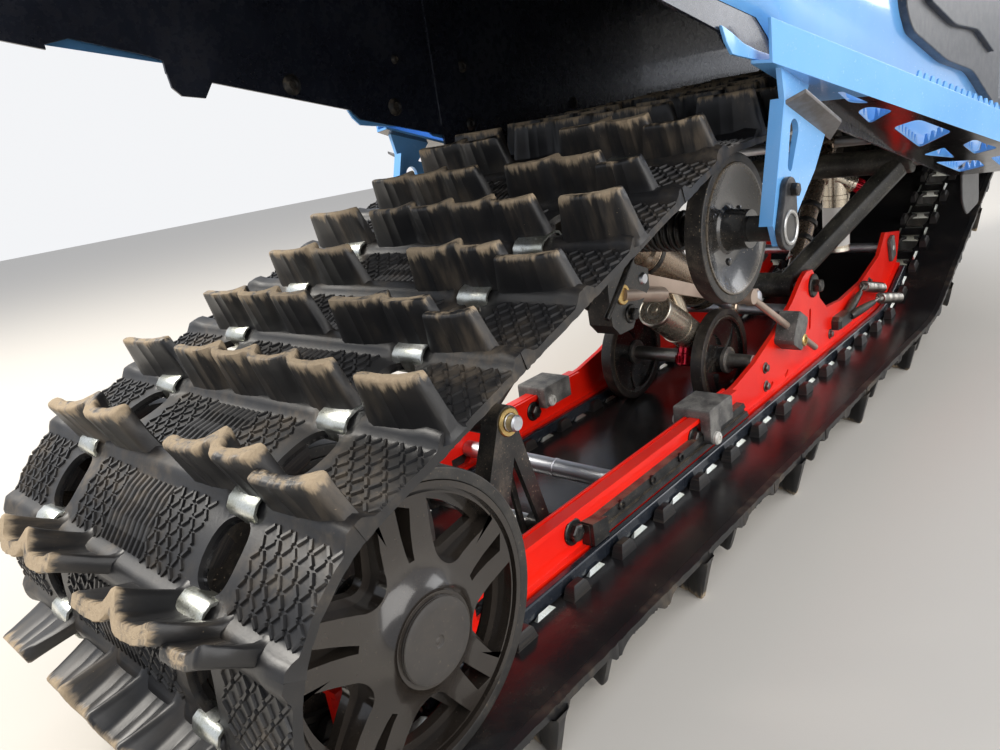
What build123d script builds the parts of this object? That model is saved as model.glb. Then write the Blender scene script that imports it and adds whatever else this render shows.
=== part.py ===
# Rear track unit of a snowmobile: the lugged drive track on its sliding rails,
# the wheels, arms and shock absorbers inside it, and the tunnel with its running
# boards over it. Millimetres. +X is forward, +Y is left, +Z is up.
# The pieces are worked out around the rear axle, and each one is moved at the end
# so that the origin lies on the floor under the middle of the whole unit.
from math import atan2, cos, hypot, pi, radians, sin, sqrt
import os

from build123d import *

# Track: rods at one pitch, three belts joined by the bars between the windows
pitch = 72.6
pitch_count = 51
belt_width = 406.4
belt_thick = 6.0
lug_height = 41.0
lug_thick = 9.0
window_centre_y = 111.5
window_width = 34.0
window_length = 44.0

# Wheels: radius is the outside of the rubber ring
rear_wheel_radius = 100.0
rear_wheel_width = 30.0
rear_outer_face_y = 176.0
rear_inner_face_y = 84.0
rear_inner_width = 24.0
rear_axle_radius = 10.0
upper_wheel_radius = 65.0
upper_wheel_width = 20.0
upper_outer_face_y = 199.0
upper_wheel_x = 399.0
upper_wheel_z = 165.0
upper_shaft_radius = 11.0
mid_wheel_radius = 64.0
mid_wheel_width = 20.0
mid_outer_face_y = 80.0
mid_wheel_x = 618.0
mid_shaft_radius = 9.0
ring_depth = 8.0
fit_gap = 0.3

# Drive axle: the sprockets drive the rods, the axle's place along the tunnel
# follows from the length of the track
drive_axle_z = 190.0
drive_axle_radius = 14.0
drive_teeth = 8
sprocket_width = 16.0
sprocket_y = 64.0

# Rails and what is fixed to them
rail_y = 111.5
rail_web = 6.0
rail_flange_width = 18.0
rail_flange_thick = 5.0
rail_height = 44.0
rail_rear_x = -34.0
slide_width = 32.0
slide_height = 15.0
rail_curve_x = 1030.0
rail_curve_radius = 250.0
ramp_length = 66.0

# Tunnel, boards and the brackets that carry the upper shaft
tunnel_inner_y = 219.0
tunnel_wall = 3.0
tunnel_rear_x = -120.0
tunnel_front_x = 1690.0
board_slope = 0.2345
edge_ref_x = 260.0
edge_upper_z = 340.0
edge_lower_z = 306.0
edge_step_x = 345.0
edge_step = 8.0
edge_drop_x = 478.0
edge_level_x = 1050.0
roof_ref_z = 560.0
roof_slope = 0.10
bracket_y = 240.0
bracket_thick = 5.0


def turned(point, angle):
    """A point in the XZ plane turned about the origin."""
    x, z = point
    return (x * cos(angle) - z * sin(angle), x * sin(angle) + z * cos(angle))


def tangent(circle_a, circle_b):
    """The belt's straight from circle a to circle b, both on its right hand."""
    (xa, za, ra), (xb, zb, rb) = circle_a, circle_b
    dist = hypot(xb - xa, zb - za)
    ux, uz = (xb - xa) / dist, (zb - za) / dist
    lean = (ra - rb) / dist
    rise = sqrt(1 - lean * lean)
    nx, nz = ux * lean - uz * rise, uz * lean + ux * rise
    return (xa + nx * ra, za + nz * ra), (xb + nx * rb, zb + nz * rb)


def loop_circles(drive_x):
    """Circles that the middle of the belt runs round, in order of travel."""
    half = belt_thick / 2
    return [
        (0.0, 0.0, rear_wheel_radius + half),
        (upper_wheel_x, upper_wheel_z, upper_wheel_radius + half),
        (drive_x, drive_axle_z, drive_teeth * pitch / (2 * pi)),
        (rail_curve_x, rail_curve_radius - rear_wheel_radius, rail_curve_radius + half),
    ]


def loop_parts(circles, offset=0.0):
    """Straights and arcs of the belt: (kind, start, end, centre, radius, turn)."""
    rings = [(x, z, r + offset) for x, z, r in circles]
    count = len(rings)
    runs = [tangent(rings[i], rings[(i + 1) % count]) for i in range(count)]
    parts = []
    for i in range(count):
        start, end = runs[i]
        parts.append(("run", start, end, None, 0.0, 0.0))
        x, z, r = rings[(i + 1) % count]
        leave = runs[(i + 1) % count][0]
        turn = (atan2(end[1] - z, end[0] - x) - atan2(leave[1] - z, leave[0] - x)) % (2 * pi)
        parts.append(("arc", end, leave, (x, z), r, turn))
    return parts


def part_length(part):
    kind, start, end, centre, radius, turn = part
    if kind == "run":
        return hypot(end[0] - start[0], end[1] - start[1])
    return radius * turn


def find_drive_x():
    """Place of the drive axle at which the belt is a whole number of pitches long."""
    low, high = rail_curve_x, rail_curve_x + pitch * pitch_count
    for _ in range(60):
        middle = (low + high) / 2
        length = sum(part_length(p) for p in loop_parts(loop_circles(middle)))
        if length < pitch * pitch_count:
            low = middle
        else:
            high = middle
    return (low + high) / 2


drive_axle_x = find_drive_x()
belt_circles = loop_circles(drive_axle_x)
belt_parts = loop_parts(belt_circles)
slide_bottom_z = -rear_wheel_radius
rail_bottom_z = slide_bottom_z + slide_height - 4.0
rail_top_z = rail_bottom_z + rail_height
mid_wheel_z = mid_wheel_radius - rear_wheel_radius
ramp_angle = belt_parts[5][5]
floor_z = -(rear_wheel_radius + belt_thick + lug_height)


def station(distance):
    """Place, direction of travel and outward direction at a distance along the belt."""
    left = distance % (pitch * pitch_count)
    for part in belt_parts:
        kind, start, end, centre, radius, turn = part
        length = part_length(part)
        if left <= length:
            break
        left -= length
    if kind == "run":
        dx, dz = (end[0] - start[0]) / length, (end[1] - start[1]) / length
        return (start[0] + dx * left, start[1] + dz * left), (dx, dz), (-dz, dx)
    nx, nz = turned(((start[0] - centre[0]) / radius, (start[1] - centre[1]) / radius), -left / radius)
    return (centre[0] + nx * radius, centre[1] + nz * radius), (nz, -nx), (nx, nz)


def loop_face(offset):
    """Flat face inside the belt's line moved outward by the offset."""
    edges = []
    for kind, start, end, centre, radius, turn in loop_parts(belt_circles, offset):
        a, b = (start[0], 0, start[1]), (end[0], 0, end[1])
        if kind == "run":
            edges.append(Edge.make_line(a, b))
        else:
            way = turned((start[0] - centre[0], start[1] - centre[1]), -turn / 2)
            middle = (centre[0] + way[0], 0, centre[1] + way[1])
            edges.append(Edge.make_three_point_arc(a, middle, b))
    return Face(Wire(edges))


def across(face, y_low, y_high):
    """Solid from a face in the XZ plane, from y_low to y_high."""
    return Pos(0, y_low, 0) * Solid.extrude(face, Vector(0, y_high - y_low, 0))


def plate(outline, y_low, y_high):
    """Plate whose outline is a list of (x, z) corners."""
    face = Face(Wire.make_polygon([(x, 0, z) for x, z in outline], close=True))
    return across(face, y_low, y_high)


def rod(radius, x, z, y_low, y_high):
    """Round bar across the unit."""
    bar = Cylinder(radius, y_high - y_low, rotation=(90, 0, 0))
    return Pos(x, (y_low + y_high) / 2, z) * bar


def strut(start, end, radius):
    """Round bar from one point to another."""
    line = Vector(*end) - Vector(*start)
    bar = Cylinder(radius, line.length, align=(Align.CENTER, Align.CENTER, Align.MIN))
    return Plane(origin=start, z_dir=line) * bar


def turned_part(profile):
    """Body turned about the Y axis from a list of (radius, y) corners."""
    return revolve(make_face(Polyline(*profile, close=True)), Axis.Y)


def both_sides(solid):
    return [solid, mirror(solid, Plane.XZ)]


# Lugs: three row types in turn, seen from behind with the left side first
# columns: y of one end, y of the other end, height as a share of the lug height
lug_rows = [
    [(160.0, 98.0, 1.0), (68.0, -118.0, 1.0), (-150.0, -198.0, 1.0)],
    [(136.0, 30.0, 1.0), (-54.0, -140.0, 1.0), (-140.0, -190.0, 0.8)],
    [(140.0, 0.0, 1.0), (-42.0, -136.0, 1.0), (-136.0, -172.0, 0.8)],
]
first_rod = 278.9


def in_belt(distance, solid):
    """Solid drawn with X along the travel, Y across and Z outward, set on the belt."""
    (x, z), (dx, dz), (nx, nz) = station(distance)
    return Plane(origin=(x, 0, z), x_dir=(dx, 0, dz), z_dir=(nx, 0, nz)) * solid


def make_track():
    outer = loop_face(belt_thick / 2)
    inner = loop_face(-belt_thick / 2)
    belt = across(outer, -belt_width / 2, belt_width / 2) - across(inner, -belt_width, belt_width)
    lugs = []
    windows = []
    for row in range(pitch_count):
        place = first_rod - row * pitch
        for y_a, y_b, share in lug_rows[row % 3]:
            block = Box(lug_thick, y_a - y_b, belt_thick / 2 + lug_height * share,
                        align=(Align.CENTER, Align.MAX, Align.MIN))
            lugs.append(in_belt(place, Pos(0, y_a, 0) * block))
        for side in (-1, 1):
            hole = Box(window_length, window_width, 4 * belt_thick)
            windows.append(in_belt(place - pitch / 2, Pos(0, side * window_centre_y, 0) * hole))
    return (belt + lugs) - windows


# Rear wheels: a rubber ring on a moulded disc with five spokes and five windows
rim_depth = 10.0
disc_thick = 9.0
disc_inset = 3.0
hub_radius = 33.0
hub_stand_out = 15.0
spoke_count = 5
spoke_first_angle = 86.0
window_inner_radius = 43.0
window_angle_inner = 40.0
window_angle_outer = 44.0
slot_inner_radius = 44.0
slot_outer_radius = 76.0
slot_width = 7.0
wheel_boss_radius = 20.0


def sector(r_in, r_out, angle, spread_in, spread_out, y_low, y_high):
    """Window cutter between two radii, about an angle, wider or narrower outwards."""
    corners = []
    for r, turn in ((r_in, -spread_in), (r_out, -spread_out), (r_out, 0), (r_out, spread_out), (r_in, spread_in)):
        way = radians(angle + turn / 2)
        corners.append((r * cos(way), r * sin(way)))
    return plate(corners, y_low, y_high)


def rear_wheel_disc(outer_y):
    """Right-hand disc, outer face at -outer_y."""
    rim_out = rear_wheel_radius - ring_depth - fit_gap
    rim_in = rim_out - rim_depth
    low, high = -outer_y, -outer_y + rear_wheel_width
    face = low + disc_inset
    disc = turned_part([(0, face), (rim_in + 1, face), (rim_in + 1, face + disc_thick), (0, face + disc_thick)])
    rim = turned_part([(rim_in, low), (rim_out, low), (rim_out, high), (rim_in, high)])
    hub = rod(hub_radius, 0, 0, low - hub_stand_out, face + disc_thick)
    boss = rod(wheel_boss_radius, 0, 0, face, high)
    solid = disc + rim + hub + boss
    for spoke in range(spoke_count):
        angle = spoke_first_angle + spoke * 360 / spoke_count
        solid -= sector(window_inner_radius, rim_in, angle + 180 / spoke_count,
                        window_angle_inner, window_angle_outer, low - 1, high)
        slot = Box(slot_outer_radius - slot_inner_radius, 4 * disc_thick, slot_width)
        middle = (slot_inner_radius + slot_outer_radius) / 2
        solid -= Rot(0, -angle, 0) * Pos(middle, face + disc_thick / 2, 0) * slot
    return solid - rod(rear_axle_radius + fit_gap, 0, 0, -rear_axle_half - fit_gap, high + 1)


def plain_ring(radius, depth, x, z, y_low, y_high):
    """Rubber ring of a wheel."""
    return rod(radius, x, z, y_low, y_high) - rod(radius - depth, x, z, y_low - 1, y_high + 1)


def dished_disc(radius, x, z, width, y_outer, shaft_radius, boss_radius, boss_out):
    """Plain dished wheel disc, outer face at -y_outer, bored for its shaft."""
    low, high = -y_outer, -y_outer + width
    rim = radius - ring_depth - fit_gap
    profile = [
        (shaft_radius + fit_gap, low - boss_out), (boss_radius, low - boss_out), (boss_radius, low + width / 2),
        (rim - 5, low + 5), (rim - 5, low), (rim, low), (rim, high), (rim - 5, high),
        (rim - 5, high - 5), (boss_radius, high - 2), (boss_radius, high), (shaft_radius + fit_gap, high),
    ]
    return Pos(x, 0, z) * turned_part(profile)


rear_axle_half = rear_outer_face_y + hub_stand_out - 6.0


def make_rear_wheels():
    discs = both_sides(rear_wheel_disc(rear_outer_face_y))
    rings = []
    for face_y, width in ((rear_outer_face_y, rear_wheel_width), (rear_inner_face_y, rear_inner_width)):
        rings += both_sides(plain_ring(rear_wheel_radius, ring_depth, 0, 0, -face_y, -face_y + width))
    inner = both_sides(dished_disc(rear_wheel_radius, 0, 0, rear_inner_width, rear_inner_face_y,
                                   rear_axle_radius, wheel_boss_radius, 0))
    return discs, rings, inner


def make_small_wheels(radius, width, face_y, x, z, shaft_radius, boss_radius, boss_out):
    discs = both_sides(dished_disc(radius, x, z, width, face_y, shaft_radius, boss_radius, boss_out))
    rings = both_sides(plain_ring(radius, ring_depth, x, z, -face_y, -face_y + width))
    return discs, rings


# Rails
rail_top_outline = [
    (1206.0, 14.0), (1123.0, 27.0), (1092.0, -5.0), (1044.0, -17.0), (1005.0, -27.0), (914.0, -33.0),
    (852.0, -28.0), (826.0, -8.0), (812.0, 26.0), (800.0, 38.0), (780.0, 40.0), (764.0, 34.0),
    (727.0, 10.0), (667.0, -15.0), (606.0, -34.0), (556.0, -44.0),
]
tower_bolt_x = 800.0
tower_bolt_z = 16.0
flange_front_x = 545.0


def runner_line(height, start_x, run):
    """Line at a height over the belt: along the ground, round the curve and up the ramp."""
    r = rail_curve_radius - height
    centre_z = rail_curve_radius - rear_wheel_radius
    a = (start_x, centre_z - r)
    b = (rail_curve_x, centre_z - r)
    m = (rail_curve_x + r * sin(ramp_angle / 2), centre_z - r * cos(ramp_angle / 2))
    c = (rail_curve_x + r * sin(ramp_angle), centre_z - r * cos(ramp_angle))
    d = (c[0] + run * cos(ramp_angle), c[1] + run * sin(ramp_angle))
    return a, b, m, c, d


def lift(point):
    return (point[0], 0, point[1])


def runner_edges(height, start_x, run):
    a, b, m, c, d = runner_line(height, start_x, run)
    return [
        Edge.make_line(lift(a), lift(b)),
        Edge.make_three_point_arc(lift(b), lift(m), lift(c)),
        Edge.make_line(lift(c), lift(d)),
    ]


def band(low, high, start_x, run, y_low, y_high):
    """Strip along the runner between two heights over the belt."""
    bottom, top = runner_line(low, start_x, run), runner_line(high, start_x, run)
    edges = runner_edges(low, start_x, run) + runner_edges(high, start_x, run)
    edges += [Edge.make_line(lift(bottom[4]), lift(top[4])), Edge.make_line(lift(top[0]), lift(bottom[0]))]
    return across(Face(Wire(edges)), y_low, y_high)


rail_foot = rail_bottom_z - slide_bottom_z
slide_run = ramp_length - 6.0


def make_rail():
    """Right-hand rail: web, two flanges and the front tower."""
    line = runner_line(rail_foot, rail_rear_x, ramp_length)
    edges = runner_edges(rail_foot, rail_rear_x, ramp_length)
    corners = [line[4]] + rail_top_outline + [(flange_front_x, rail_top_z), (rail_rear_x, rail_top_z), line[0]]
    for a, b in zip(corners, corners[1:]):
        edges.append(Edge.make_line(lift(a), lift(b)))
    half = rail_web / 2
    web = across(Face(Wire(edges)), -rail_y - half, -rail_y + half)
    foot = band(rail_foot, rail_foot + rail_flange_thick, rail_rear_x, ramp_length,
                -rail_y - rail_flange_width / 2, -rail_y + rail_flange_width / 2)
    head = plate([(rail_rear_x, rail_top_z - rail_flange_thick), (flange_front_x, rail_top_z - rail_flange_thick),
                  (flange_front_x, rail_top_z), (rail_rear_x, rail_top_z)],
                 -rail_y - rail_flange_width / 2, -rail_y + rail_flange_width / 2)
    rail = web + foot + head
    rail -= rod(rear_axle_radius + fit_gap, 0, 0, -rail_y - 20, -rail_y + 20)
    return rail


def make_slide():
    """Right-hand slide shoe: a plastic strip that hooks round the rail's foot."""
    lip = rail_flange_width / 2 + fit_gap
    strip = band(fit_gap, slide_height, rail_rear_x + 60, slide_run, -rail_y - slide_width / 2, -rail_y + slide_width / 2)
    slot = band(rail_foot - fit_gap, slide_height + 20, rail_rear_x, ramp_length + 20, -rail_y - lip, -rail_y + lip)
    return strip - slot


brace_rear_x = 238.0
brace_front_x = 566.0
brace_depth = 9.0
brace_height = 20.0


def make_brace():
    """Right-hand black strip bolted along the outside of the rail."""
    inner = -rail_y - rail_web / 2
    low = rail_bottom_z + rail_flange_thick
    corners = [(brace_rear_x, low), (brace_front_x, low), (brace_front_x - 12, low + brace_height),
               (brace_rear_x, low + brace_height)]
    return plate(corners, inner - brace_depth, inner)


block_rear_x = 452.0
block_front_x = 540.0
block_height = 26.0
block_cheek = 7.0


def make_stop_block():
    """Right-hand block that sits astride the top of the rail."""
    half = rail_flange_width / 2
    body = Box(block_front_x - block_rear_x, rail_flange_width + 2 * block_cheek + 8, block_height,
               align=(Align.MIN, Align.CENTER, Align.MIN))
    body = Pos(block_rear_x, -rail_y, rail_top_z) * body
    cheek = Box(34, block_cheek, 18, align=(Align.MIN, Align.CENTER, Align.MAX))
    cheek = Pos(block_rear_x + 20, -rail_y - half - fit_gap - block_cheek / 2, rail_top_z + 1) * cheek
    return body + cheek


# Cross members between the rails: x, z, radius
cross_tubes = [(326.0, -66.0, 9.5), (1130.0, -2.0, 8.0)]
link_foot_x = 230.0
link_foot_z = -72.0
link_foot_radius = 8.0
link_y = 75.0
link_pivot_x = 198.0
link_pivot_z = 45.0
link_rear_x = 150.0
web_inner_y = rail_y - rail_web / 2


def make_links():
    """A-shaped links from the rails' cross shafts up to the rear arm's lower pivot."""
    links = []
    for side in (-1, 1):
        y = side * link_y
        top = (link_pivot_x, y, link_pivot_z)
        solid = strut(top, (link_foot_x, y, link_foot_z), 7) + strut(top, (link_rear_x, y, link_foot_z), 9)
        for x, z in ((link_pivot_x, link_pivot_z), (link_foot_x, link_foot_z), (link_rear_x, link_foot_z)):
            solid += rod(14, x, z, y - 9, y + 9)
        for x, z in ((link_pivot_x, link_pivot_z), (link_foot_x, link_foot_z), (link_rear_x, link_foot_z)):
            solid -= rod(link_foot_radius + fit_gap, x, z, y - 30, y + 30)
        links.append(solid)
    return links


# Rear arm: from the upper shaft back and down to the links
arm_y = 50.0
arm_tube_radius = 11.0


def make_rear_arm():
    solid = rod(upper_shaft_radius + 8, upper_wheel_x, upper_wheel_z, -95, 95)
    solid += rod(link_foot_radius + 6, link_pivot_x, link_pivot_z, -link_y + 9 + fit_gap, link_y - 9 - fit_gap)
    for side in (-1, 1):
        solid += strut((upper_wheel_x, side * arm_y, upper_wheel_z), (link_pivot_x, side * arm_y, link_pivot_z), arm_tube_radius)
    solid -= rod(upper_shaft_radius + fit_gap, upper_wheel_x, upper_wheel_z, -200, 200)
    solid -= rod(link_foot_radius + fit_gap, link_pivot_x, link_pivot_z, -200, 200)
    return solid


# Front arm: a wide upper tube and two legs that close in to the tower shaft
front_arm_x = 909.0
front_arm_z = 162.0
front_arm_y = 196.0
front_foot_y = 45.0
front_leg_radius = 17.0
front_shaft_radius = 8.0


def make_front_arm():
    solid = rod(front_shaft_radius + 9, front_arm_x, front_arm_z, -front_arm_y - 14, front_arm_y + 14)
    solid += rod(front_shaft_radius + 9, tower_bolt_x, tower_bolt_z, -front_foot_y - 22, front_foot_y + 22)
    for side in (-1, 1):
        solid += strut((front_arm_x, side * front_arm_y, front_arm_z), (tower_bolt_x, side * front_foot_y, tower_bolt_z),
                       front_leg_radius)
    solid -= rod(front_shaft_radius + fit_gap, front_arm_x, front_arm_z, -300, 300)
    solid -= rod(front_shaft_radius + fit_gap, tower_bolt_x, tower_bolt_z, -300, 300)
    return solid


# Tunnel
def edge_upper(x):
    return edge_upper_z - board_slope * (x - edge_ref_x)


def edge_lower(x):
    return edge_lower_z - board_slope * (min(x, edge_level_x) - edge_ref_x)


def roof(x):
    return roof_ref_z - roof_slope * x


def tunnel_outline(drop=0.0):
    return [
        (tunnel_rear_x, edge_upper(tunnel_rear_x)), (edge_step_x - 6, edge_upper(edge_step_x - 6)),
        (edge_step_x + 6, edge_upper(edge_step_x + 6) - edge_step),
        (edge_drop_x, edge_upper(edge_drop_x) - edge_step), (edge_drop_x, edge_lower(edge_drop_x)),
        (edge_level_x, edge_lower(edge_level_x)), (tunnel_front_x, edge_lower(edge_level_x)),
        (tunnel_front_x, roof(tunnel_front_x) - drop), (tunnel_rear_x, roof(tunnel_rear_x) - drop),
    ]


frame_hole_radius = 4.25
frame_holes_x = (1600.0, 1670.0)
frame_holes_z = (170.0, 350.0)


def make_tunnel_side():
    """Right-hand wall, bored for its shafts and for the four bolts of the front frame."""
    wall = plate(tunnel_outline(tunnel_wall), -tunnel_inner_y - tunnel_wall, -tunnel_inner_y)
    holes = [(drive_axle_x, drive_axle_z, drive_axle_radius + fit_gap),
             (front_arm_x, front_arm_z, front_shaft_radius + fit_gap)]
    holes += [(x, z, frame_hole_radius) for x in frame_holes_x for z in frame_holes_z]
    for x, z, r in holes:
        wall -= rod(r, x, z, -tunnel_inner_y - 20, -tunnel_inner_y + 20)
    return wall


def make_roof():
    half = tunnel_inner_y + tunnel_wall
    corners = [(tunnel_rear_x, roof(tunnel_rear_x) - tunnel_wall), (tunnel_front_x, roof(tunnel_front_x) - tunnel_wall),
               (tunnel_front_x, roof(tunnel_front_x)), (tunnel_rear_x, roof(tunnel_rear_x))]
    return plate(corners, -half, half)


board_rear_x = 305.0
board_rear_y = 272.0
board_front_y = 415.0
board_front_x = 1560.0
board_thick = 3.0
board_edge_height = 33.0


def board_z(x):
    return edge_lower(x)


def make_board():
    """Right-hand running board: a sloping plate, widening forward, with a raised outer edge."""
    wall_y = tunnel_inner_y + tunnel_wall
    bend = edge_level_x
    bend_y = board_rear_y + (board_front_y - board_rear_y) * (bend - board_rear_x) / (board_front_x - board_rear_x)
    outline = [(board_rear_x, board_rear_y), (bend, bend_y), (board_front_x, board_front_y)]
    inner = [(board_front_x, wall_y), (bend, wall_y), (board_rear_x, wall_y)]
    plan = Face(Wire.make_polygon([(x, -y, -200) for x, y in outline + inner], close=True))
    column = Solid.extrude(plan, Vector(0, 0, 800))
    sheet = plate([(board_rear_x, board_z(board_rear_x)), (bend, board_z(bend)), (board_front_x, board_z(bend)),
                   (board_front_x, board_z(bend) + board_thick), (bend, board_z(bend) + board_thick),
                   (board_rear_x, board_z(board_rear_x) + board_thick)], -600, 0)
    edge = plate([(board_rear_x, board_z(board_rear_x)), (bend, board_z(bend)), (board_front_x, board_z(bend)),
                  (board_front_x, board_z(bend) + board_edge_height), (bend, board_z(bend) + board_edge_height),
                  (board_rear_x, board_z(board_rear_x) + board_edge_height)], -600, 0)
    inside = [(x, y - board_thick) for x, y in outline]
    inside[0] = (board_rear_x - 10, inside[0][1] - 1)
    inside[2] = (board_front_x + 10, inside[2][1] + 1)
    inner_plan = Face(Wire.make_polygon([(x, -y, -200) for x, y in inside]
                                        + [(board_front_x + 10, 0, -200), (board_rear_x - 10, 0, -200)], close=True))
    inner_column = Solid.extrude(inner_plan, Vector(0, 0, 800))
    return (sheet & column) + ((edge & column) - inner_column)


bracket_top = [(379.0, 498.0), (351.0, 423.0)]
bracket_bottom_z = 140.0


def make_bracket():
    """Right-hand drop bracket: a tapered plate hanging under the board, slotted."""
    top_rear, top_front = bracket_top[0]
    low_rear, low_front = bracket_top[1]
    corners = [(top_rear, board_z(top_rear)), (top_front, board_z(top_front)),
               (low_front, upper_wheel_z + 12), (low_front - 8, bracket_bottom_z),
               (low_rear + 10, bracket_bottom_z), (low_rear, upper_wheel_z)]
    solid = plate(corners, -bracket_y, -bracket_y + bracket_thick)
    slot = plate([(402, 205), (412, 205), (430, 255), (412, 255)], -bracket_y - 5, -bracket_y + 20)
    solid -= slot
    solid -= rod(upper_shaft_radius + fit_gap, upper_wheel_x, upper_wheel_z, -bracket_y - 20, -bracket_y + 20)
    return solid


cam_length = 27.0
cam_thick = 6.0


def make_cam():
    """Right-hand plate that ties the shaft's end to the bracket."""
    low, high = -bracket_y - cam_thick, -bracket_y
    solid = rod(15, upper_wheel_x, upper_wheel_z, low, high) + rod(10, upper_wheel_x + 9, upper_wheel_z + cam_length, low, high)
    solid += plate([(upper_wheel_x - 14, upper_wheel_z + 4), (upper_wheel_x + 14, upper_wheel_z),
                    (upper_wheel_x + 18, upper_wheel_z + cam_length), (upper_wheel_x, upper_wheel_z + cam_length)], low, high)
    return solid - rod(upper_shaft_radius + fit_gap, upper_wheel_x, upper_wheel_z, low - 1, high + 1)


journal_radius = 12.5
journal_length = 27.0


def make_drive_axle():
    """Axle with a thinner journal outside each wall, for the drive case and the bearing."""
    wall_y = tunnel_inner_y + tunnel_wall
    end_y = wall_y + journal_length
    return (rod(drive_axle_radius, drive_axle_x, drive_axle_z, -wall_y, wall_y)
            + rod(journal_radius, drive_axle_x, drive_axle_z, -end_y, end_y))


def make_sprocket(y):
    """Drive sprocket whose teeth push the rods of the track."""
    root = drive_teeth * pitch / (2 * pi) - belt_thick / 2 - 12
    tip = root + 11
    corners = []
    for tooth in range(drive_teeth):
        for share, r in ((-0.25, root), (-0.14, tip), (0.14, tip), (0.25, root)):
            angle = 2 * pi * (tooth + share) / drive_teeth
            corners.append((drive_axle_x + r * cos(angle), drive_axle_z + r * sin(angle)))
    solid = plate(corners, y - sprocket_width / 2, y + sprocket_width / 2)
    return solid - rod(drive_axle_radius + fit_gap, drive_axle_x, drive_axle_z, y - 30, y + 30)


def save(name, solids):
    """Move the solids from the rear axle's frame to the unit's own and write them."""
    shape = solids if isinstance(solids, list) else [solids]
    flat = []
    for item in shape:
        flat += list(item.solids())
    moved = [Pos(-middle_x, 0, -floor_z) * s for s in flat]
    result = moved[0] if len(moved) == 1 else Compound(children=moved)
    result.label = name
    export_step(result, f"parts/{name}.step")


def save_pair(name, solid):
    """Write a right-hand piece and its mirror image."""
    save(name + "_right", solid)
    save(name + "_left", mirror(solid, Plane.XZ))


track = make_track()
middle_x = (min(track.bounding_box().min.X, tunnel_rear_x) + tunnel_front_x) / 2

os.makedirs("parts", exist_ok=True)
save("track", track)
save("drive_axle", make_drive_axle())
save("drive_sprockets", [make_sprocket(y) for y in (-sprocket_y * 2.2, -sprocket_y, sprocket_y, sprocket_y * 2.2)])
wheel_discs, wheel_rings, inner_discs = make_rear_wheels()
save("rear_wheel_discs", wheel_discs)
save("rear_inner_discs", inner_discs)
save("rear_wheel_rings", wheel_rings)
save("rear_axle", rod(rear_axle_radius, 0, 0, -rear_axle_half, rear_axle_half))
discs, rings = make_small_wheels(upper_wheel_radius, upper_wheel_width, upper_outer_face_y, upper_wheel_x,
                                 upper_wheel_z, upper_shaft_radius, 22.0, 17.0)
save("upper_wheel_discs", discs)
save("upper_wheel_rings", rings)
save("upper_shaft", rod(upper_shaft_radius, upper_wheel_x, upper_wheel_z, -bracket_y - cam_thick, bracket_y + cam_thick))
discs, rings = make_small_wheels(mid_wheel_radius, mid_wheel_width, mid_outer_face_y, mid_wheel_x,
                                 mid_wheel_z, mid_shaft_radius, 16.0, 3.0)
save("mid_wheel_discs", discs)
save("mid_wheel_rings", rings)
save("mid_shaft", rod(mid_shaft_radius, mid_wheel_x, mid_wheel_z, -web_inner_y, web_inner_y))
save_pair("rail", make_rail())
save_pair("slide", make_slide())
save_pair("rail_brace", make_brace())
save_pair("stop_block", make_stop_block())
save("cross_tubes", [rod(r, x, z, -web_inner_y, web_inner_y) for x, z, r in cross_tubes])
save("link_shafts", [rod(link_foot_radius, link_foot_x, link_foot_z, -web_inner_y, web_inner_y),
                     rod(link_foot_radius, link_rear_x, link_foot_z, -web_inner_y, web_inner_y),
                     rod(link_foot_radius, link_pivot_x, link_pivot_z, -link_y - 12, link_y + 12)])
save("rear_links", make_links())
save("rear_arm", make_rear_arm())
save("front_arm", make_front_arm())
save("front_shafts", [rod(front_shaft_radius, front_arm_x, front_arm_z, -tunnel_inner_y - tunnel_wall, tunnel_inner_y + tunnel_wall),
                      rod(front_shaft_radius, tower_bolt_x, tower_bolt_z, -web_inner_y, web_inner_y)])
save_pair("tunnel_side", make_tunnel_side())
save("tunnel_roof", make_roof())
save_pair("running_board", make_board())
save_pair("drop_bracket", make_bracket())
save_pair("cam_plate", make_cam())
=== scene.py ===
# Rear track unit of a snowmobile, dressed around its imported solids. Metres.
# +X is forward, +Y is the rider's left, +Z is up.
from math import atan2, cos, exp, hypot, pi, radians, sin, sqrt
import random

import bmesh
import bpy
from mathutils import Matrix, Vector


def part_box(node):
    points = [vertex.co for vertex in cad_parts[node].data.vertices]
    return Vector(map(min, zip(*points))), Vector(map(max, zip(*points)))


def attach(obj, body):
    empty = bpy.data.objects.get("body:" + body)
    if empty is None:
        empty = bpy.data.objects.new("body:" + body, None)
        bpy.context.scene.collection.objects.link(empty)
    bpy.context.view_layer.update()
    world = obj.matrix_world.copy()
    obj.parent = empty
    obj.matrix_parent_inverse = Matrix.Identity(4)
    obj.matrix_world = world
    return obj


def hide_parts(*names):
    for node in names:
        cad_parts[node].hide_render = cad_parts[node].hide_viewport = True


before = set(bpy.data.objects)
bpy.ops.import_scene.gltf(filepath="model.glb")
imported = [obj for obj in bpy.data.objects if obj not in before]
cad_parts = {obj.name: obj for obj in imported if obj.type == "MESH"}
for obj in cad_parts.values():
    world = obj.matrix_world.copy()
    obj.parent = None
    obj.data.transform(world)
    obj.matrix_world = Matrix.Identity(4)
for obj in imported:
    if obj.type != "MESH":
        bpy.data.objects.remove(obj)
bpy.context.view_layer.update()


# Camera: low behind the right side, looking forward and to the left under the tunnel.
# Its place was solved from the photograph, measured from the middle of the rear axle.
view_from_axle = Vector((-0.23457, -0.49737, 0.27447))
view_yaw, view_pitch, view_roll = radians(43.78), radians(-17.42), radians(-8.67)
view_lens = 27.56
sensor_width = 36.0

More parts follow.
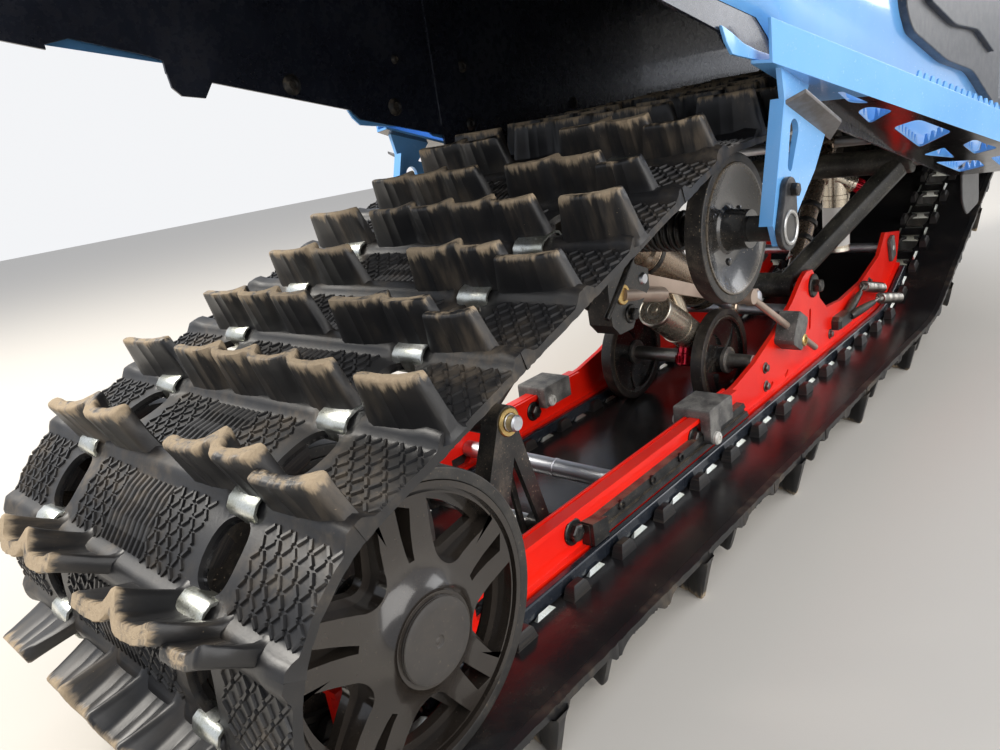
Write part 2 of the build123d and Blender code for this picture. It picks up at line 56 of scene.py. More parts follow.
axle_low, axle_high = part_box("rear_axle")
axle = (axle_low + axle_high) / 2
forward = Vector((cos(view_pitch) * cos(view_yaw), cos(view_pitch) * sin(view_yaw), sin(view_pitch)))
level_right = Vector((sin(view_yaw), -cos(view_yaw), 0.0))
level_up = level_right.cross(forward)
right = level_right * cos(view_roll) + level_up * sin(view_roll)
up = level_up * cos(view_roll) - level_right * sin(view_roll)
camera_data = bpy.data.cameras.new("camera")
camera_data.lens = view_lens
camera_data.sensor_width = sensor_width
camera_data.sensor_fit = "HORIZONTAL"
camera_data.clip_start = 0.01
camera = bpy.data.objects.new("camera", camera_data)
bpy.context.scene.collection.objects.link(camera)
turn = Matrix((right, up, -forward)).transposed().to_4x4()
camera.matrix_world = Matrix.Translation(axle + view_from_axle) @ turn
bpy.context.scene.camera = camera


# Studio: a pale floor, an even pale sky and two broad soft lamps. The sky lights the
# unit from all round, and the lamps stand for a low sun and its bounce off pale ground.
class Wire:
    """A socket of a shader's nodes. Arithmetic on it adds Math nodes."""

    def __init__(self, tree, socket=None):
        self.tree, self.socket = tree, socket

    def node(self, kind, settings=None, inputs=None, out=0):
        made = self.tree.nodes.new("ShaderNode" + kind)
        for name, value in (settings or {}).items():
            if name == "stops":
                for stop in made.color_ramp.elements[2:]:
                    made.color_ramp.elements.remove(stop)
                for stop, (place, level) in zip(made.color_ramp.elements, value):
                    stop.position = place
                    stop.color = (level, level, level, 1.0)
            else:
                setattr(made, name, value)
        for name, value in (inputs or {}).items():
            if isinstance(value, Wire):
                self.tree.links.new(value.socket, made.inputs[name])
            else:
                made.inputs[name].default_value = value
        return Wire(self.tree, made.outputs[out])

    def math(self, operation, *values):
        return self.node("Math", {"operation": operation}, dict(enumerate(values)))

    def __add__(self, other):
        return self.math("ADD", self, other)

    def __sub__(self, other):
        return self.math("SUBTRACT", self, other)

    def __rsub__(self, other):
        return self.math("SUBTRACT", other, self)

    def __mul__(self, other):
        return self.math("MULTIPLY", self, other)

    def __pow__(self, other):
        return self.math("POWER", self, other)

    __radd__ = __add__
    __rmul__ = __mul__

    def ramp(self, low, high):
        """Nought below low and one above high, with a soft change between."""
        return self.node("MapRange", {"interpolation_type": "SMOOTHSTEP"}, {0: self, 1: low, 2: high})

    def mix(self, first, second):
        """Colour between the first and the second by this factor."""
        inputs = {0: self}
        for place, colour in ((6, first), (7, second)):
            inputs[place] = colour if isinstance(colour, Wire) else (*colour, 1.0)
        return self.node("Mix", {"data_type": "RGBA"}, inputs, out=2)

    def noise(self, scale, detail=4.0, roughness=0.55):
        """Noise over this place or direction."""
        return self.node("TexNoise", {},
                         {"Vector": self, "Scale": scale, "Detail": detail, "Roughness": roughness})

    def stretched(self, x, y, z):
        return self.node("VectorMath", {"operation": "MULTIPLY"}, {0: self, 1: (x, y, z)})


def new_finish(name):
    """Material with its node tree and its shader."""
    material = bpy.data.materials.new(name)
    material.use_nodes = True
    return material, material.node_tree, material.node_tree.nodes["Principled BSDF"]


sky_light, sky_shown = (0.80, 0.84, 0.92), (0.90, 0.91, 0.93)
sky_strength = 0.85
floor_size = 14.0
floor_colour = (0.62, 0.585, 0.53)
lamps_aim = Vector((0.0, 0.0, 0.25))
lamps = [
    # columns: name, place, width, power, colour
    ("low_sun", (-1.4, 1.5, 2.3), 1.0, 95.0, (1.0, 0.95, 0.87)),
    ("bounce", (-0.6, -2.6, 1.3), 2.2, 55.0, (1.0, 0.97, 0.93)),
    ("front_fill", (2.8, -1.6, 1.6), 2.0, 40.0, (1.0, 1.0, 1.0)),
]

scene = bpy.context.scene
scene.view_settings.view_transform = "Standard"
world = bpy.data.worlds.new("studio_sky")
world.use_nodes = True
scene.world = world
sky = Wire(world.node_tree)
seen = sky.node("LightPath", out="Is Camera Ray")
sky_node = world.node_tree.nodes["Background"]
world.node_tree.links.new(seen.mix(sky_light, sky_shown).socket, sky_node.inputs["Color"])
world.node_tree.links.new((seen * (1.0 - sky_strength) + sky_strength).socket, sky_node.inputs["Strength"])

floor_mesh = bpy.data.meshes.new("floor")
half_floor = floor_size / 2
floor_mesh.from_pydata([(-half_floor, -half_floor, 0), (half_floor, -half_floor, 0),
                        (half_floor, half_floor, 0), (-half_floor, half_floor, 0)], [], [(0, 1, 2, 3)])
floor = bpy.data.objects.new("floor", floor_mesh)
scene.collection.objects.link(floor)
floor_finish, _, floor_shader = new_finish("pale_floor")
floor_shader.inputs["Base Color"].default_value = (*floor_colour, 1.0)
floor_shader.inputs["Roughness"].default_value = 0.9
floor_mesh.materials.append(floor_finish)

for name, place, width, power, colour in lamps:
    lamp_data = bpy.data.lights.new(name, "AREA")
    lamp_data.size = width
    lamp_data.energy = power
    lamp_data.color = colour
    lamp = bpy.data.objects.new(name, lamp_data)
    lamp.location = place
    lamp.rotation_euler = (lamps_aim - Vector(place)).to_track_quat("-Z", "Y").to_euler()
    scene.collection.objects.link(lamp)


# Track belt: fabric-backed rubber, moulded round a rod at every pitch. Each rod makes a
# smooth raised bar across the belt, with oval windows between the bars for the slides.
pitch, pitch_count = 0.0726, 51
belt_half, belt_reach = 0.003, 0.2032
first_rod = 0.2789
window_y, window_half_length, window_half_width = 0.1115, 0.022, 0.017
window_squareness = 2.6
window_frame = 0.023
bar_height, bar_flat, bar_foot = 0.0065, 0.004, 0.013
lump_height, lump_from = 0.0035, 0.188
drive_low, drive_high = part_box("drive_axle")
# What the belt runs round: rear wheels, upper wheels, sprockets and the rails' front curve.
# columns: x and z of the centre from the rear axle, radius of the belt's middle
circles = [(0.0, 0.0, 0.103), (0.399, 0.165, 0.068),
           ((drive_low.x + drive_high.x) / 2 - axle.x, 0.190, 0.09244), (1.030, 0.150, 0.253)]


def outer_tangent(circle_a, circle_b):
    """Ends of the belt's straight from circle a to circle b."""
    (xa, za, ra), (xb, zb, rb) = circle_a, circle_b
    apart = hypot(xb - xa, zb - za)
    along_x, along_z = (xb - xa) / apart, (zb - za) / apart
    lean = (ra - rb) / apart
    rise = sqrt(1 - lean * lean)
    out_x, out_z = along_x * lean - along_z * rise, along_z * lean + along_x * rise
    return (xa + out_x * ra, za + out_z * ra), (xb + out_x * rb, zb + out_z * rb)


runs = [outer_tangent(circles[i], circles[(i + 1) % 4]) for i in range(4)]
belt_path = []
belt_length = 0.0
for i, (start, end) in enumerate(runs):
    length = hypot(end[0] - start[0], end[1] - start[1])
    belt_path.append((belt_length, length, start, atan2(end[1] - start[1], end[0] - start[0]), 0.0))
    belt_length += length
    x, z, r = circles[(i + 1) % 4]
    leave = runs[(i + 1) % 4][0]
    first_angle = atan2(end[1] - z, end[0] - x)
    length = r * ((first_angle - atan2(leave[1] - z, leave[0] - x)) % (2 * pi))
    belt_path.append((belt_length, length, (x, z), first_angle, r))
    belt_length += length


def on_belt(s, y, h):
    """Point at a distance along the belt, a place across it and a height over its middle."""
    s %= belt_length
    for begin, length, centre, angle, r in belt_path:
        if s <= begin + length:
            break
    s -= begin
    if r == 0.0:
        return (axle.x + centre[0] + s * cos(angle) - h * sin(angle), y,
                axle.z + centre[1] + s * sin(angle) + h * cos(angle))
    angle -= s / r
    return axle.x + centre[0] + (r + h) * cos(angle), y, axle.z + centre[1] + (r + h) * sin(angle)


def rubber(name, sand_low, sand_high, streak=1.0):
    """Black rubber with dried tan dust. The sand starts where the piece's own level reaches it."""
    material, tree, shader = new_finish(name)
    start = Wire(tree)
    flow = start.node("Attribute", {"attribute_name": "flow"}, out="Vector")
    level = start.node("Attribute", {"attribute_name": "level"}, out="Fac")
    broad = flow.noise(14.0, 3.0)
    grit = flow.noise(420.0, 3.0, 0.7)
    streaks = flow.stretched(1.0, 1.0, streak).noise(95.0, 5.0, 0.65)
    film = (broad.ramp(0.42, 0.72) * streaks.ramp(0.35, 0.75)) * 0.42
    cake = (level + (streaks - 0.5) * 0.75 + (broad - 0.5) * 0.5).ramp(sand_low, sand_high)
    specks = grit.ramp(0.68, 0.74) * broad.ramp(0.40, 0.62) * 0.8
    wet = level.ramp(-0.2, -0.8)
    black = broad.mix((0.007, 0.007, 0.008), (0.019, 0.0185, 0.019))
    film = film * (1.0 - wet * 0.75)
    tan = grit.mix((0.27, 0.20, 0.125), (0.47, 0.37, 0.25))
    dust = film.math("MAXIMUM", film, specks)
    colour = cake.mix(dust.mix(black, (0.25, 0.19, 0.125)), tan)
    tree.links.new(colour.socket, shader.inputs["Base Color"])
    rough = (broad * 0.22 + 0.32 + dust * 0.3) * (1.0 - wet * 0.55)
    tree.links.new(rough.math("MAXIMUM", rough, cake * 0.92).socket, shader.inputs["Roughness"])
    relief = streaks * 0.3 + grit * (cake * 0.9 + 0.15)
    bump = start.node("Bump", {}, {"Strength": 0.55, "Distance": 0.0009, "Height": relief})
    tree.links.new(bump.socket, shader.inputs["Normal"])
    return material


def piece(name, points, faces, material, crease=38.0, flow=None, level=None):
    """Mesh of the unit's root body, smooth except across edges sharper than the crease."""
    mesh = bpy.data.meshes.new(name)
    mesh.from_pydata(points, [], faces)
    mesh.materials.append(material)
    if flow:
        attribute = mesh.attributes.new("flow", "FLOAT_VECTOR", "POINT")
        attribute.data.foreach_set("vector", [value for point in flow for value in point])
        attribute = mesh.attributes.new("level", "FLOAT", "POINT")
        attribute.data.foreach_set("value", level)
    mesh.shade_smooth()
    mesh.set_sharp_from_angle(angle=radians(crease))
    made = bpy.data.objects.new(name, mesh)
    scene.collection.objects.link(made)
    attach(made, "root")
    return made


def bar_rise(step, y):
    """Height of the belt's outer face over its plain level, at a step from the rod."""
    share = min(1.0, max(0.0, (abs(step) - bar_flat) / (bar_foot - bar_flat)))
    rise = bar_height * (1 - share * share * (3 - 2 * share))
    edge = max(0.0, (abs(y) - lump_from) / (belt_reach - lump_from))
    round_off = max(0.0, 1 - (step / bar_foot) ** 2)
    return rise + lump_height * sin(pi * min(1.0, edge * 1.15)) * round_off


bar_steps = [0.0, 0.0025, 0.005, 0.008, 0.011, 0.014, 0.020, 0.028, 0.0363]
tile_u = [step - pitch / 2 for step in bar_steps] + [pitch / 2 - step for step in bar_steps[-2::-1]]
side_y = [belt_reach - i * (belt_reach - window_y - window_frame) / 6 for i in range(7)]
middle_y = [(window_y - window_frame) * (1 - i / 7) for i in range(15)]

tile_points, tile_faces, tile_rim = [], [], []


def tile_grid(across):
    """Grid of one pitch of belt over a list of places across it."""
    start = len(tile_points)
    tile_points.extend((u, y) for u in tile_u for y in across)
    wide = len(across)
    for i in range(len(tile_u) - 1):
        for j in range(wide - 1):
            corner = start + i * wide + j
            tile_faces.append((corner, corner + 1, corner + wide + 1, corner + wide))
    return start


for side in (1, -1):
    tile_grid([side * y for y in (side_y if side > 0 else side_y[::-1])])
tile_grid(middle_y)
frame_y = [window_frame * (1 - i / 3) for i in range(7)]
around = [(u, window_frame) for u in tile_u] + [(tile_u[-1], y) for y in frame_y[1:]]
around += [(u, -window_frame) for u in tile_u[-2::-1]] + [(tile_u[0], y) for y in frame_y[-2:0:-1]]
for side in (1, -1):
    start = len(tile_points)
    for share in (1.0, 0.5, 0.12, 0.0):
        for u, y in around:
            angle = atan2(y / window_half_width, u / window_half_length)
            size = (abs(cos(angle)) ** window_squareness
                    + abs(sin(angle)) ** window_squareness) ** (-1 / window_squareness)
            oval_u, oval_y = window_half_length * size * cos(angle), window_half_width * size * sin(angle)
            tile_points.append((oval_u + (u - oval_u) * share,
                                side * window_y + oval_y + (y - oval_y) * share))
    count = len(around)
    for ring in range(3):
        for k in range(count):
            a, b = start + ring * count + k, start + ring * count + (k + 1) % count
            tile_faces.append((a, a + count, b + count, b))
    tile_rim.append([start + 3 * count + k for k in range(count)])

points, faces, flow, level = [], [], [], []
rng = random.Random(11)
tile_size = len(tile_points)
for tile in range(pitch_count):
    centre = first_rod - (tile + 0.5) * pitch
    base = len(points)
    for outer in (True, False):
        for u, y in tile_points:
            step = min(u + pitch / 2, pitch / 2 - u)
            ragged = rng.uniform(-0.0006, 0.0006) if abs(y) > belt_reach - 0.0001 else 0.0
            h = belt_half + bar_rise(step, y) if outer else -belt_half
            points.append(on_belt(centre + u, y + ragged, h))
            flow.append((y, centre + u, h))
            level.append(0.30 if abs(y) > belt_reach - 0.002 else 0.12 if outer else -1.0)
    for corners in tile_faces:
        (ua, ya), (ub, yb), (uc, yc) = (tile_points[c] for c in corners[:3])
        facing = (ub - ua) * (yc - ya) - (yb - ya) * (uc - ua) < 0
        out = corners if facing else corners[::-1]
        faces.append([base + c for c in out])
        faces.append([base + tile_size + c for c in out[::-1]])
    for rim in tile_rim:
        for a, b in zip(rim, rim[1:] + rim[:1]):
            faces.append([base + b, base + a, base + tile_size + a, base + tile_size + b])
    for first, wide in ((0, 7), (len(tile_u) * 7, 7)):
        edge = [first + i * wide + (0 if first == 0 else wide - 1) for i in range(len(tile_u))]
        for a, b in zip(edge, edge[1:]):
            walls = [base + a, base + b, base + tile_size + b, base + tile_size + a]
            faces.append(walls if first == 0 else walls[::-1])
belt_rubber = rubber("track_rubber", 0.62, 0.95)
track_belt = piece("track_belt", points, faces, belt_rubber, 50.0, flow, level)
welded = bmesh.new()
welded.from_mesh(track_belt.data)
bmesh.ops.remove_doubles(welded, verts=welded.verts, dist=0.00002)
bmesh.ops.recalc_face_normals(welded, faces=welded.faces)
welded.to_mesh(track_belt.data)
welded.free()
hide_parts("track")

# Lugs: moulded in one with the belt on the rods' bars, in three row types in turn. Each
# is a thin wall of flat panels set back between upright ribs.
lug_height, lug_foot, lug_half_thick, lug_rib = 0.041, 0.003, 0.0036, 0.0022
panel_width, panel_depth = 0.050, 0.0080
end_rake = 0.009
# columns: share of a panel's width, share of its depth at that place
panel_steps = [(0.0, 0.0), (0.05, 0.02), (0.11, 0.30), (0.19, 0.80), (0.27, 0.98), (0.40, 1.0),
               (0.415, 1.05), (0.43, 1.0), (0.64, 0.93), (0.655, 0.98), (0.67, 0.92), (0.82, 0.72),
               (0.91, 0.38), (0.97, 0.06)]
# columns: y of one end, y of the other end, height as a share of the lug's height
lug_rows = [
    [(0.160, 0.098, 1.0), (0.068, -0.118, 1.0), (-0.150, -0.198, 1.0)],
    [(0.136, 0.030, 1.0), (-0.054, -0.140, 1.0), (-0.140, -0.190, 0.8)],
    [(0.140, 0.000, 1.0), (-0.042, -0.136, 1.0), (-0.136, -0.172, 0.8)],
]
# columns: share of the lug's height, share of its half thickness there
wall_levels = [(0.0, 2.1), (0.05, 1.55), (0.13, 1.15), (0.4, 1.0), (0.75, 0.94), (0.93, 0.95), (0.985, 0.8),
               (1.0, 0.45)]
points, faces, flow, level = [], [], [], []
rng = random.Random(4)
for row in range(pitch_count):
    rod = first_rod - row * pitch
    for y_from, y_to, tall in lug_rows[row % 3]:
        width = y_from - y_to
        panels = max(1, round(width / panel_width))
        across = [(k + t) / panels for k in range(panels) for t, _ in panel_steps] + [1.0]
        deep = [depth for _ in range(panels) for _, depth in panel_steps] + [0.0]
        stations = len(across) - 1
        wobble = rng.uniform(-0.0012, 0.0012)
        base = len(points)
        for i in range(stations + 1):
            t, belly = across[i], deep[i]
            if t * panels < 0.30:
                belly = max(belly, 0.92)
            elif (1 - t) * panels < 0.30:
                belly = max(belly, 0.45 + (1 - t) * panels)
            cusp = 1 - belly
            half = (lug_half_thick + lug_rib * max(0.0, cusp)) * (0.72 if i in (0, stations) else 1.0)
            notch = 0.0012 * cusp * (-1 if 0 < i < stations else 0.6)
            drift = 0.0035 * (t - 0.5)
            for side in (1, -1):
                ladder = wall_levels if side > 0 else wall_levels[::-1]
                for share, swell in ladder:
                    lean = share * 0.0025
                    s_step = 0.004 - panel_depth * belly * (0.55 + 0.45 * share ** 0.6) + drift + lean
                    y = y_from - width * t + end_rake * (1 - share) * (1 - 2 * t) * abs(1 - 2 * t) ** 3
                    rise = lug_foot + (lug_height * tall - notch * share + wobble * share) * share
                    h = min(rise, belt_half + lug_height)
                    points.append(on_belt(rod + s_step + side * half * swell, y, h))
                    flow.append((y, rod + s_step + side * half, h))
                    level.append(share if tall == 1.0 else share * 0.92)
        wide = 2 * len(wall_levels)
        for i in range(stations):
            for j in range(wide - 1):
                a = base + i * wide + j
                faces.append((a, a + 1, a + wide + 1, a + wide))
        for i, flip in ((0, False), (stations, True)):
            start = base + i * wide
            for j in range(len(wall_levels) - 1):
                near, far = start + j, start + wide - 1 - j
                quad = (near, far, far - 1, near + 1)
                faces.append(quad[::-1] if flip else quad)
lug_rubber = rubber("lug_rubber", 0.86, 1.03, 0.16)
piece("track_lugs", points, faces, lug_rubber, 55.0, flow, level)

# Tread: short raised dashes, moulded on the belt between the bars in a herringbone, with
# a group of wavy parallel ribs down its middle.
dash_length, dash_width, dash_height = 0.0076, 0.0029, 0.0017
dash_step_s, dash_step_y, dash_lean = 0.0074, 0.0074, radians(42)
rib_count, rib_step, rib_half_width = 9, 0.0068, 0.0017
rib_parts, rib_part_step, rib_half_length, rib_lean = 5, 0.0092, 0.0052, 0.16
points, faces, flow, level = [], [], [], []
rng = random.Random(7)


def raised_bar(s, y, half_length, half_width, height, angle):
    """Small bar with sloping sides on the belt's outer face."""
    base = len(points)
    for grow, h in ((1.0, -0.0004), (0.62, height)):
        for along, across in ((-1, -1), (1, -1), (1, 1), (-1, 1)):
            u = along * (half_length - (1 - grow) * half_width)
            v = across * half_width * grow
            place_s = s + u * cos(angle) - v * sin(angle)
            place_y = y + u * sin(angle) + v * cos(angle)
            points.append(on_belt(place_s, place_y, belt_half + h))
            flow.append((place_y, place_s, h))
            level.append(0.34 if h > 0 else 0.1)
    faces.append((base + 4, base + 5, base + 6, base + 7))
    for k in range(4):
        faces.append((base + k, base + (k + 1) % 4, base + 4 + (k + 1) % 4, base + 4 + k))


# columns: where a band of dashes starts across the belt, number of dashes across it
bands = [(0.1405, 9), (-0.1405 - 8 * dash_step_y, 9), (0.0335, 7), (-0.0335 - 6 * dash_step_y, 7)]
for tile in range(pitch_count):
    centre = first_rod - (tile + 0.5) * pitch
    for band_start, columns in bands:
        for column in range(columns):
            for line in range(7):
                s = (line - 3) * dash_step_s
                y = band_start + column * dash_step_y
                lean = dash_lean if (column + line) % 2 else -dash_lean
                raised_bar(centre + s + rng.uniform(-4e-4, 4e-4), y, dash_length / 2, dash_width / 2,
                           dash_height * rng.uniform(0.75, 1.1), lean + rng.uniform(-0.12, 0.12))
    for rib in range(rib_count):
        y = (rib - (rib_count - 1) / 2) * rib_step
        for part in range(rib_parts):
            raised_bar(centre + (part - rib_parts // 2) * rib_part_step, y, rib_half_length, rib_half_width,
                       dash_height, rib_lean if part % 2 else -rib_lean)
tread_rubber = rubber("tread_rubber", 0.62, 0.98)
piece("track_tread", points, faces, tread_rubber, 30.0, flow, level)

# Clips: zinc-plated steel, pressed round the rods' bars beside the windows, where the
# slides run. Their tops are worn bright, and the plating has a yellow cast.
clip_outline = [(-0.0148, -0.0052), (-0.0152, 0.0040), (-0.0135, 0.0082), (-0.0085, 0.0112), (0.0, 0.0121),
                (0.0085, 0.0112), (0.0135, 0.0082), (0.0152, 0.0040), (0.0148, -0.0052)]
clip_half_width = 0.0145
points, faces = [], []
for row in range(pitch_count):
    rod = first_rod - row * pitch
    for side in (1, -1):
        base = len(points)
        for shell in (1.0, 0.88):
            for u, h in clip_outline:
                for edge in (-1, -0.93, 0.93, 1):
                    reach = shell * (1.0 if abs(edge) < 1 else 0.965)
                    points.append(on_belt(rod + u * reach, side * window_y + edge * clip_half_width,
                                          h * reach))
        count, lanes = len(clip_outline), 4
        for shell in (0, 1):
            first = base + shell * count * lanes
            for k in range(count - 1):
                for lane in range(lanes - 1):
                    a = first + k * lanes + lane
                    quad = (a, a + 1, a + lanes + 1, a + lanes)
                    faces.append(quad if shell else quad[::-1])
        inner = count * lanes
        for k in range(count - 1):
            for lane, flip in ((0, False), (lanes - 1, True)):
                a = base + k * lanes + lane
                quad = (a, a + lanes, a + lanes + inner, a + inner)
                faces.append(quad[::-1] if flip else quad)
        for k, flip in ((0, True), (count - 1, False)):
            for lane in range(lanes - 1):
                a = base + k * lanes + lane
                quad = (a, a + 1, a + 1 + inner, a + inner)
                faces.append(quad[::-1] if flip else quad)


def bare_metal(name, light, dark, rough, scale=60.0, grime=0.35, stretch=(1.0, 1.0, 1.0),
               grime_colour=(0.16, 0.12, 0.08)):
    """Bare or plated metal with scuffs along one direction and a little grime."""
    material, tree, shader = new_finish(name)
    place = Wire(tree).node("TexCoord", out="Object")
    broad = place.noise(scale * 0.35, 3.0)
    scuffs = place.stretched(*stretch).noise(scale * 7, 3.0, 0.6)
    dirt = (place.noise(scale * 1.6, 5.0, 0.7).ramp(0.55, 0.80)) * grime
    metal = (broad * 0.55 + scuffs * 0.45).ramp(0.3, 0.7).mix(dark, light)
    tree.links.new(dirt.mix(metal, grime_colour).socket, shader.inputs["Base Color"])
    tree.links.new((scuffs * 0.22 + (rough - 0.1) + dirt * 0.4).socket, shader.inputs["Roughness"])
    tree.links.new((1.0 - dirt).socket, shader.inputs["Metallic"])
    bump = place.node("Bump", {}, {"Strength": 0.25, "Distance": 0.0004, "Height": scuffs + dirt * 2.0})
    tree.links.new(bump.socket, shader.inputs["Normal"])
    return material


zinc = bare_metal("zinc_plate", (0.86, 0.88, 0.86), (0.55, 0.56, 0.46), 0.3, 130.0, 0.5)
for row in range(pitch_count):
    rod = first_rod - row * pitch
    for near, far in ((0.0915, 0.0885), (0.1315, 0.1350)):
        for side in (1, -1):
            base = len(points)
            for y, rise in ((near, 0.0), (far, 0.0), ((near * 2 + far) / 3, 0.0042)):
                points.extend(on_belt(rod + along * (1.0 if rise == 0.0 else 0.6), side * y,
                                      -belt_half - rise) for along in (-0.012, 0.012))
            faces.extend([(base, base + 1, base + 5, base + 4), (base + 2, base + 4, base + 5, base + 3),
                          (base, base + 4, base + 2), (base + 1, base + 3, base + 5)])
piece("track_clips", points, faces, zinc, 60.0)

# Guide lugs: rubber knobs moulded on the belt's inner side, in a row along both sides of
# each slide. They keep the belt in line on the rails.
knob_rows, knob_half_length, knob_height = ((0.0895, 0.0042), (0.1395, 0.0058)), 0.0115, 0.0125
points, faces, flow, level = [], [], [], []
for row in range(pitch_count):
    rod = first_rod - row * pitch
    for knob_y, half_width in [(side * y, half) for side in (1, -1) for y, half in knob_rows]:
        base = len(points)
        for share, grow in ((0.0, 1.12), (0.15, 1.0), (0.82, 0.80), (1.0, 0.55)):
            for along, across in ((-1, -1), (1, -1), (1, 1), (-1, 1)):
                place_s = rod + pitch / 2 + along * knob_half_length * grow
                place_y = knob_y + across * half_width * min(1.0, grow)
                points.append(on_belt(place_s, place_y, -belt_half + 0.0004 - share * knob_height))
                flow.append((place_y, place_s, share))
                level.append(0.25 * share)
        for ring in range(3):
            for k in range(4):
                a, b = base + ring * 4 + k, base + ring * 4 + (k + 1) % 4
                faces.append((b, a, a + 4, b + 4))
        faces.append((base + 15, base + 14, base + 13, base + 12))
piece("track_guide_knobs", points, faces, belt_rubber, 40.0, flow, level)

# Rear wheels: two outer discs of glossy brown-black moulded plastic, pierced between five
# spokes, and two plain inner discs, each with a dull rubber ring pressed round its rim.
def at(x, y, z):
    """Point in metres from the middle of the rear axle."""
    return Vector((axle.x + x, y, axle.z + z))


def surface(name, light, dark, rough, dust=0.2, metal=0.0, coat=0.0, scale=45.0, relief=0.25, settle=0.0,
            dust_colour=(0.40, 0.31, 0.205), ring=None):
    """Moulded plastic, paint or coated metal: cloudy patches, fine specks of dust, and dust that
    has settled on what faces up or in a ring = (centre, inner radius, outer radius, amount)."""
    material, tree, shader = new_finish(name)
    place = Wire(tree).node("TexCoord", out="Object")
    cloud = place.noise(scale, 3.0)
    fine = place.noise(scale * 13, 3.0, 0.6)
    dirt = (cloud * 0.6 + fine * 0.4).ramp(0.46, 0.80) * dust
    specks = place.noise(480.0, 2.0, 0.5).ramp(0.66, 0.73) * min(0.9, dust * 2.4)
    dirt = dirt.math("MAXIMUM", dirt, specks)
    if settle:
        normal = place.node("NewGeometry", out="Normal")
        upward = normal.node("SeparateXYZ", {}, {"Vector": normal}, out="Z")
        lying = upward.ramp(0.25, 0.95) * (cloud * 0.6 + fine * 0.5).ramp(0.38, 0.72) * settle
        dirt = dirt.math("MAXIMUM", dirt, lying)
    if ring:
        centre, inner, outer, amount = ring
        spread = place.node("VectorMath", {"operation": "SUBTRACT"}, {0: place, 1: tuple(centre)})
        spread = spread.stretched(1.0, 0.0, 1.0)
        radius = spread.node("VectorMath", {"operation": "LENGTH"}, {0: spread}, out="Value")
        band = radius.ramp(inner, outer) * (cloud * 0.5 + fine * 0.6).ramp(0.30, 0.62) * amount
        dirt = dirt.math("MAXIMUM", dirt, band)
    base = cloud.ramp(0.34, 0.66).mix(dark, light)
    tree.links.new(dirt.mix(base, dust_colour).socket, shader.inputs["Base Color"])
    tree.links.new((fine * 0.12 + (rough - 0.06) + dirt * 0.5).socket, shader.inputs["Roughness"])
    if metal:
        tree.links.new(((1.0 - dirt) * metal).socket, shader.inputs["Metallic"])
    shader.inputs["Coat Weight"].default_value = coat
    shader.inputs["Coat Roughness"].default_value = 0.06
    bump = place.node("Bump", {}, {"Strength": relief, "Distance": 0.0004, "Height": fine + dirt * 1.5})
    tree.links.new(bump.socket, shader.inputs["Normal"])
    return material


def formed(name, material, nodes=(), shells=None, cut=None, width=0.0, reshape=None, replaces=None,
           crease=30.0, segments=2):
    """Piece from copies of solids and from closed shells, with forms cut out of it and a small
    round on each sharp edge."""
    joined = bmesh.new()
    for node in nodes:
        joined.from_mesh(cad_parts[node].data)
    if nodes:
        bmesh.ops.remove_doubles(joined, verts=joined.verts, dist=0.00001)
        bmesh.ops.dissolve_limit(joined, angle_limit=radians(0.6), verts=joined.verts, edges=joined.edges)
    if reshape:
        for vertex in joined.verts:
            vertex.co = reshape(vertex.co)
    if shells:
        added = bpy.data.meshes.new(name)
        added.from_pydata(shells[0], [], shells[1])
        joined.from_mesh(added)
    bmesh.ops.recalc_face_normals(joined, faces=joined.faces)
    mesh = bpy.data.meshes.new(name)
    joined.to_mesh(mesh)
    joined.free()
    mesh.materials.clear()
    mesh.materials.append(material)
    made = bpy.data.objects.new(name, mesh)
    scene.collection.objects.link(made)
    if cut:
        cutter_mesh = bpy.data.meshes.new("cutter")
        cutter_mesh.from_pydata(cut[0], [], cut[1])
        outward = bmesh.new()
        outward.from_mesh(cutter_mesh)
        bmesh.ops.recalc_face_normals(outward, faces=outward.faces)
        outward.to_mesh(cutter_mesh)
        outward.free()
        cutter = bpy.data.objects.new("cutter", cutter_mesh)
        scene.collection.objects.link(cutter)
        opening = made.modifiers.new("openings", "BOOLEAN")
        opening.operation = "DIFFERENCE"
        opening.solver = "EXACT"
        opening.use_self = shells is not None
        opening.object = cutter
    if width:
        rounds = made.modifiers.new("rounds", "BEVEL")
        rounds.width = width
        rounds.segments = segments
        rounds.limit_method = "ANGLE"
        rounds.angle_limit = radians(crease)
    if cut or width:
        drawn = made.evaluated_get(bpy.context.evaluated_depsgraph_get())
        made.data = bpy.data.meshes.new_from_object(drawn)
        made.modifiers.clear()
    if cut:
        bpy.data.objects.remove(cutter)
    made.data.shade_smooth()
    made.data.set_sharp_from_angle(angle=radians(28))
    evened = made.modifiers.new("evened", "WEIGHTED_NORMAL")
    evened.keep_sharp = True
    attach(made, "root")
    stands_for = nodes if replaces is None else replaces
    if stands_for:
        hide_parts(*stands_for)
    return made


def closed_tube(faces, base, around, rings):
    """Adds the faces round a run of rings of points, and one over each end."""
    for ring in range(rings - 1):
        for k in range(around):
            a, b = base + ring * around + k, base + ring * around + (k + 1) % around
            faces.append((a, b, b + around, a + around))
    faces.append(tuple(range(base + around - 1, base - 1, -1)))
    faces.append(tuple(range(base + (rings - 1) * around, base + rings * around)))


def turned(points, faces, centre, axis, profile, around=40):
    """Adds a turned form, given as (distance along its axis, radius) pairs."""
    axis = Vector(axis).normalized()
    side = axis.orthogonal().normalized()
    other = axis.cross(side)
    base = len(points)
    for along, radius in profile:
        for k in range(around):
            angle = 2 * pi * k / around
            points.append(Vector(centre) + axis * along + (side * cos(angle) + other * sin(angle)) * radius)
    closed_tube(faces, base, around, len(profile))


def turned_pair(points, faces, x, y, z, profile, around=40):
    """Adds a turned form on each side of the unit, facing outward."""
    for side in (1, -1):
        turned(points, faces, at(x, side * y, z), (0, side, 0), profile, around)


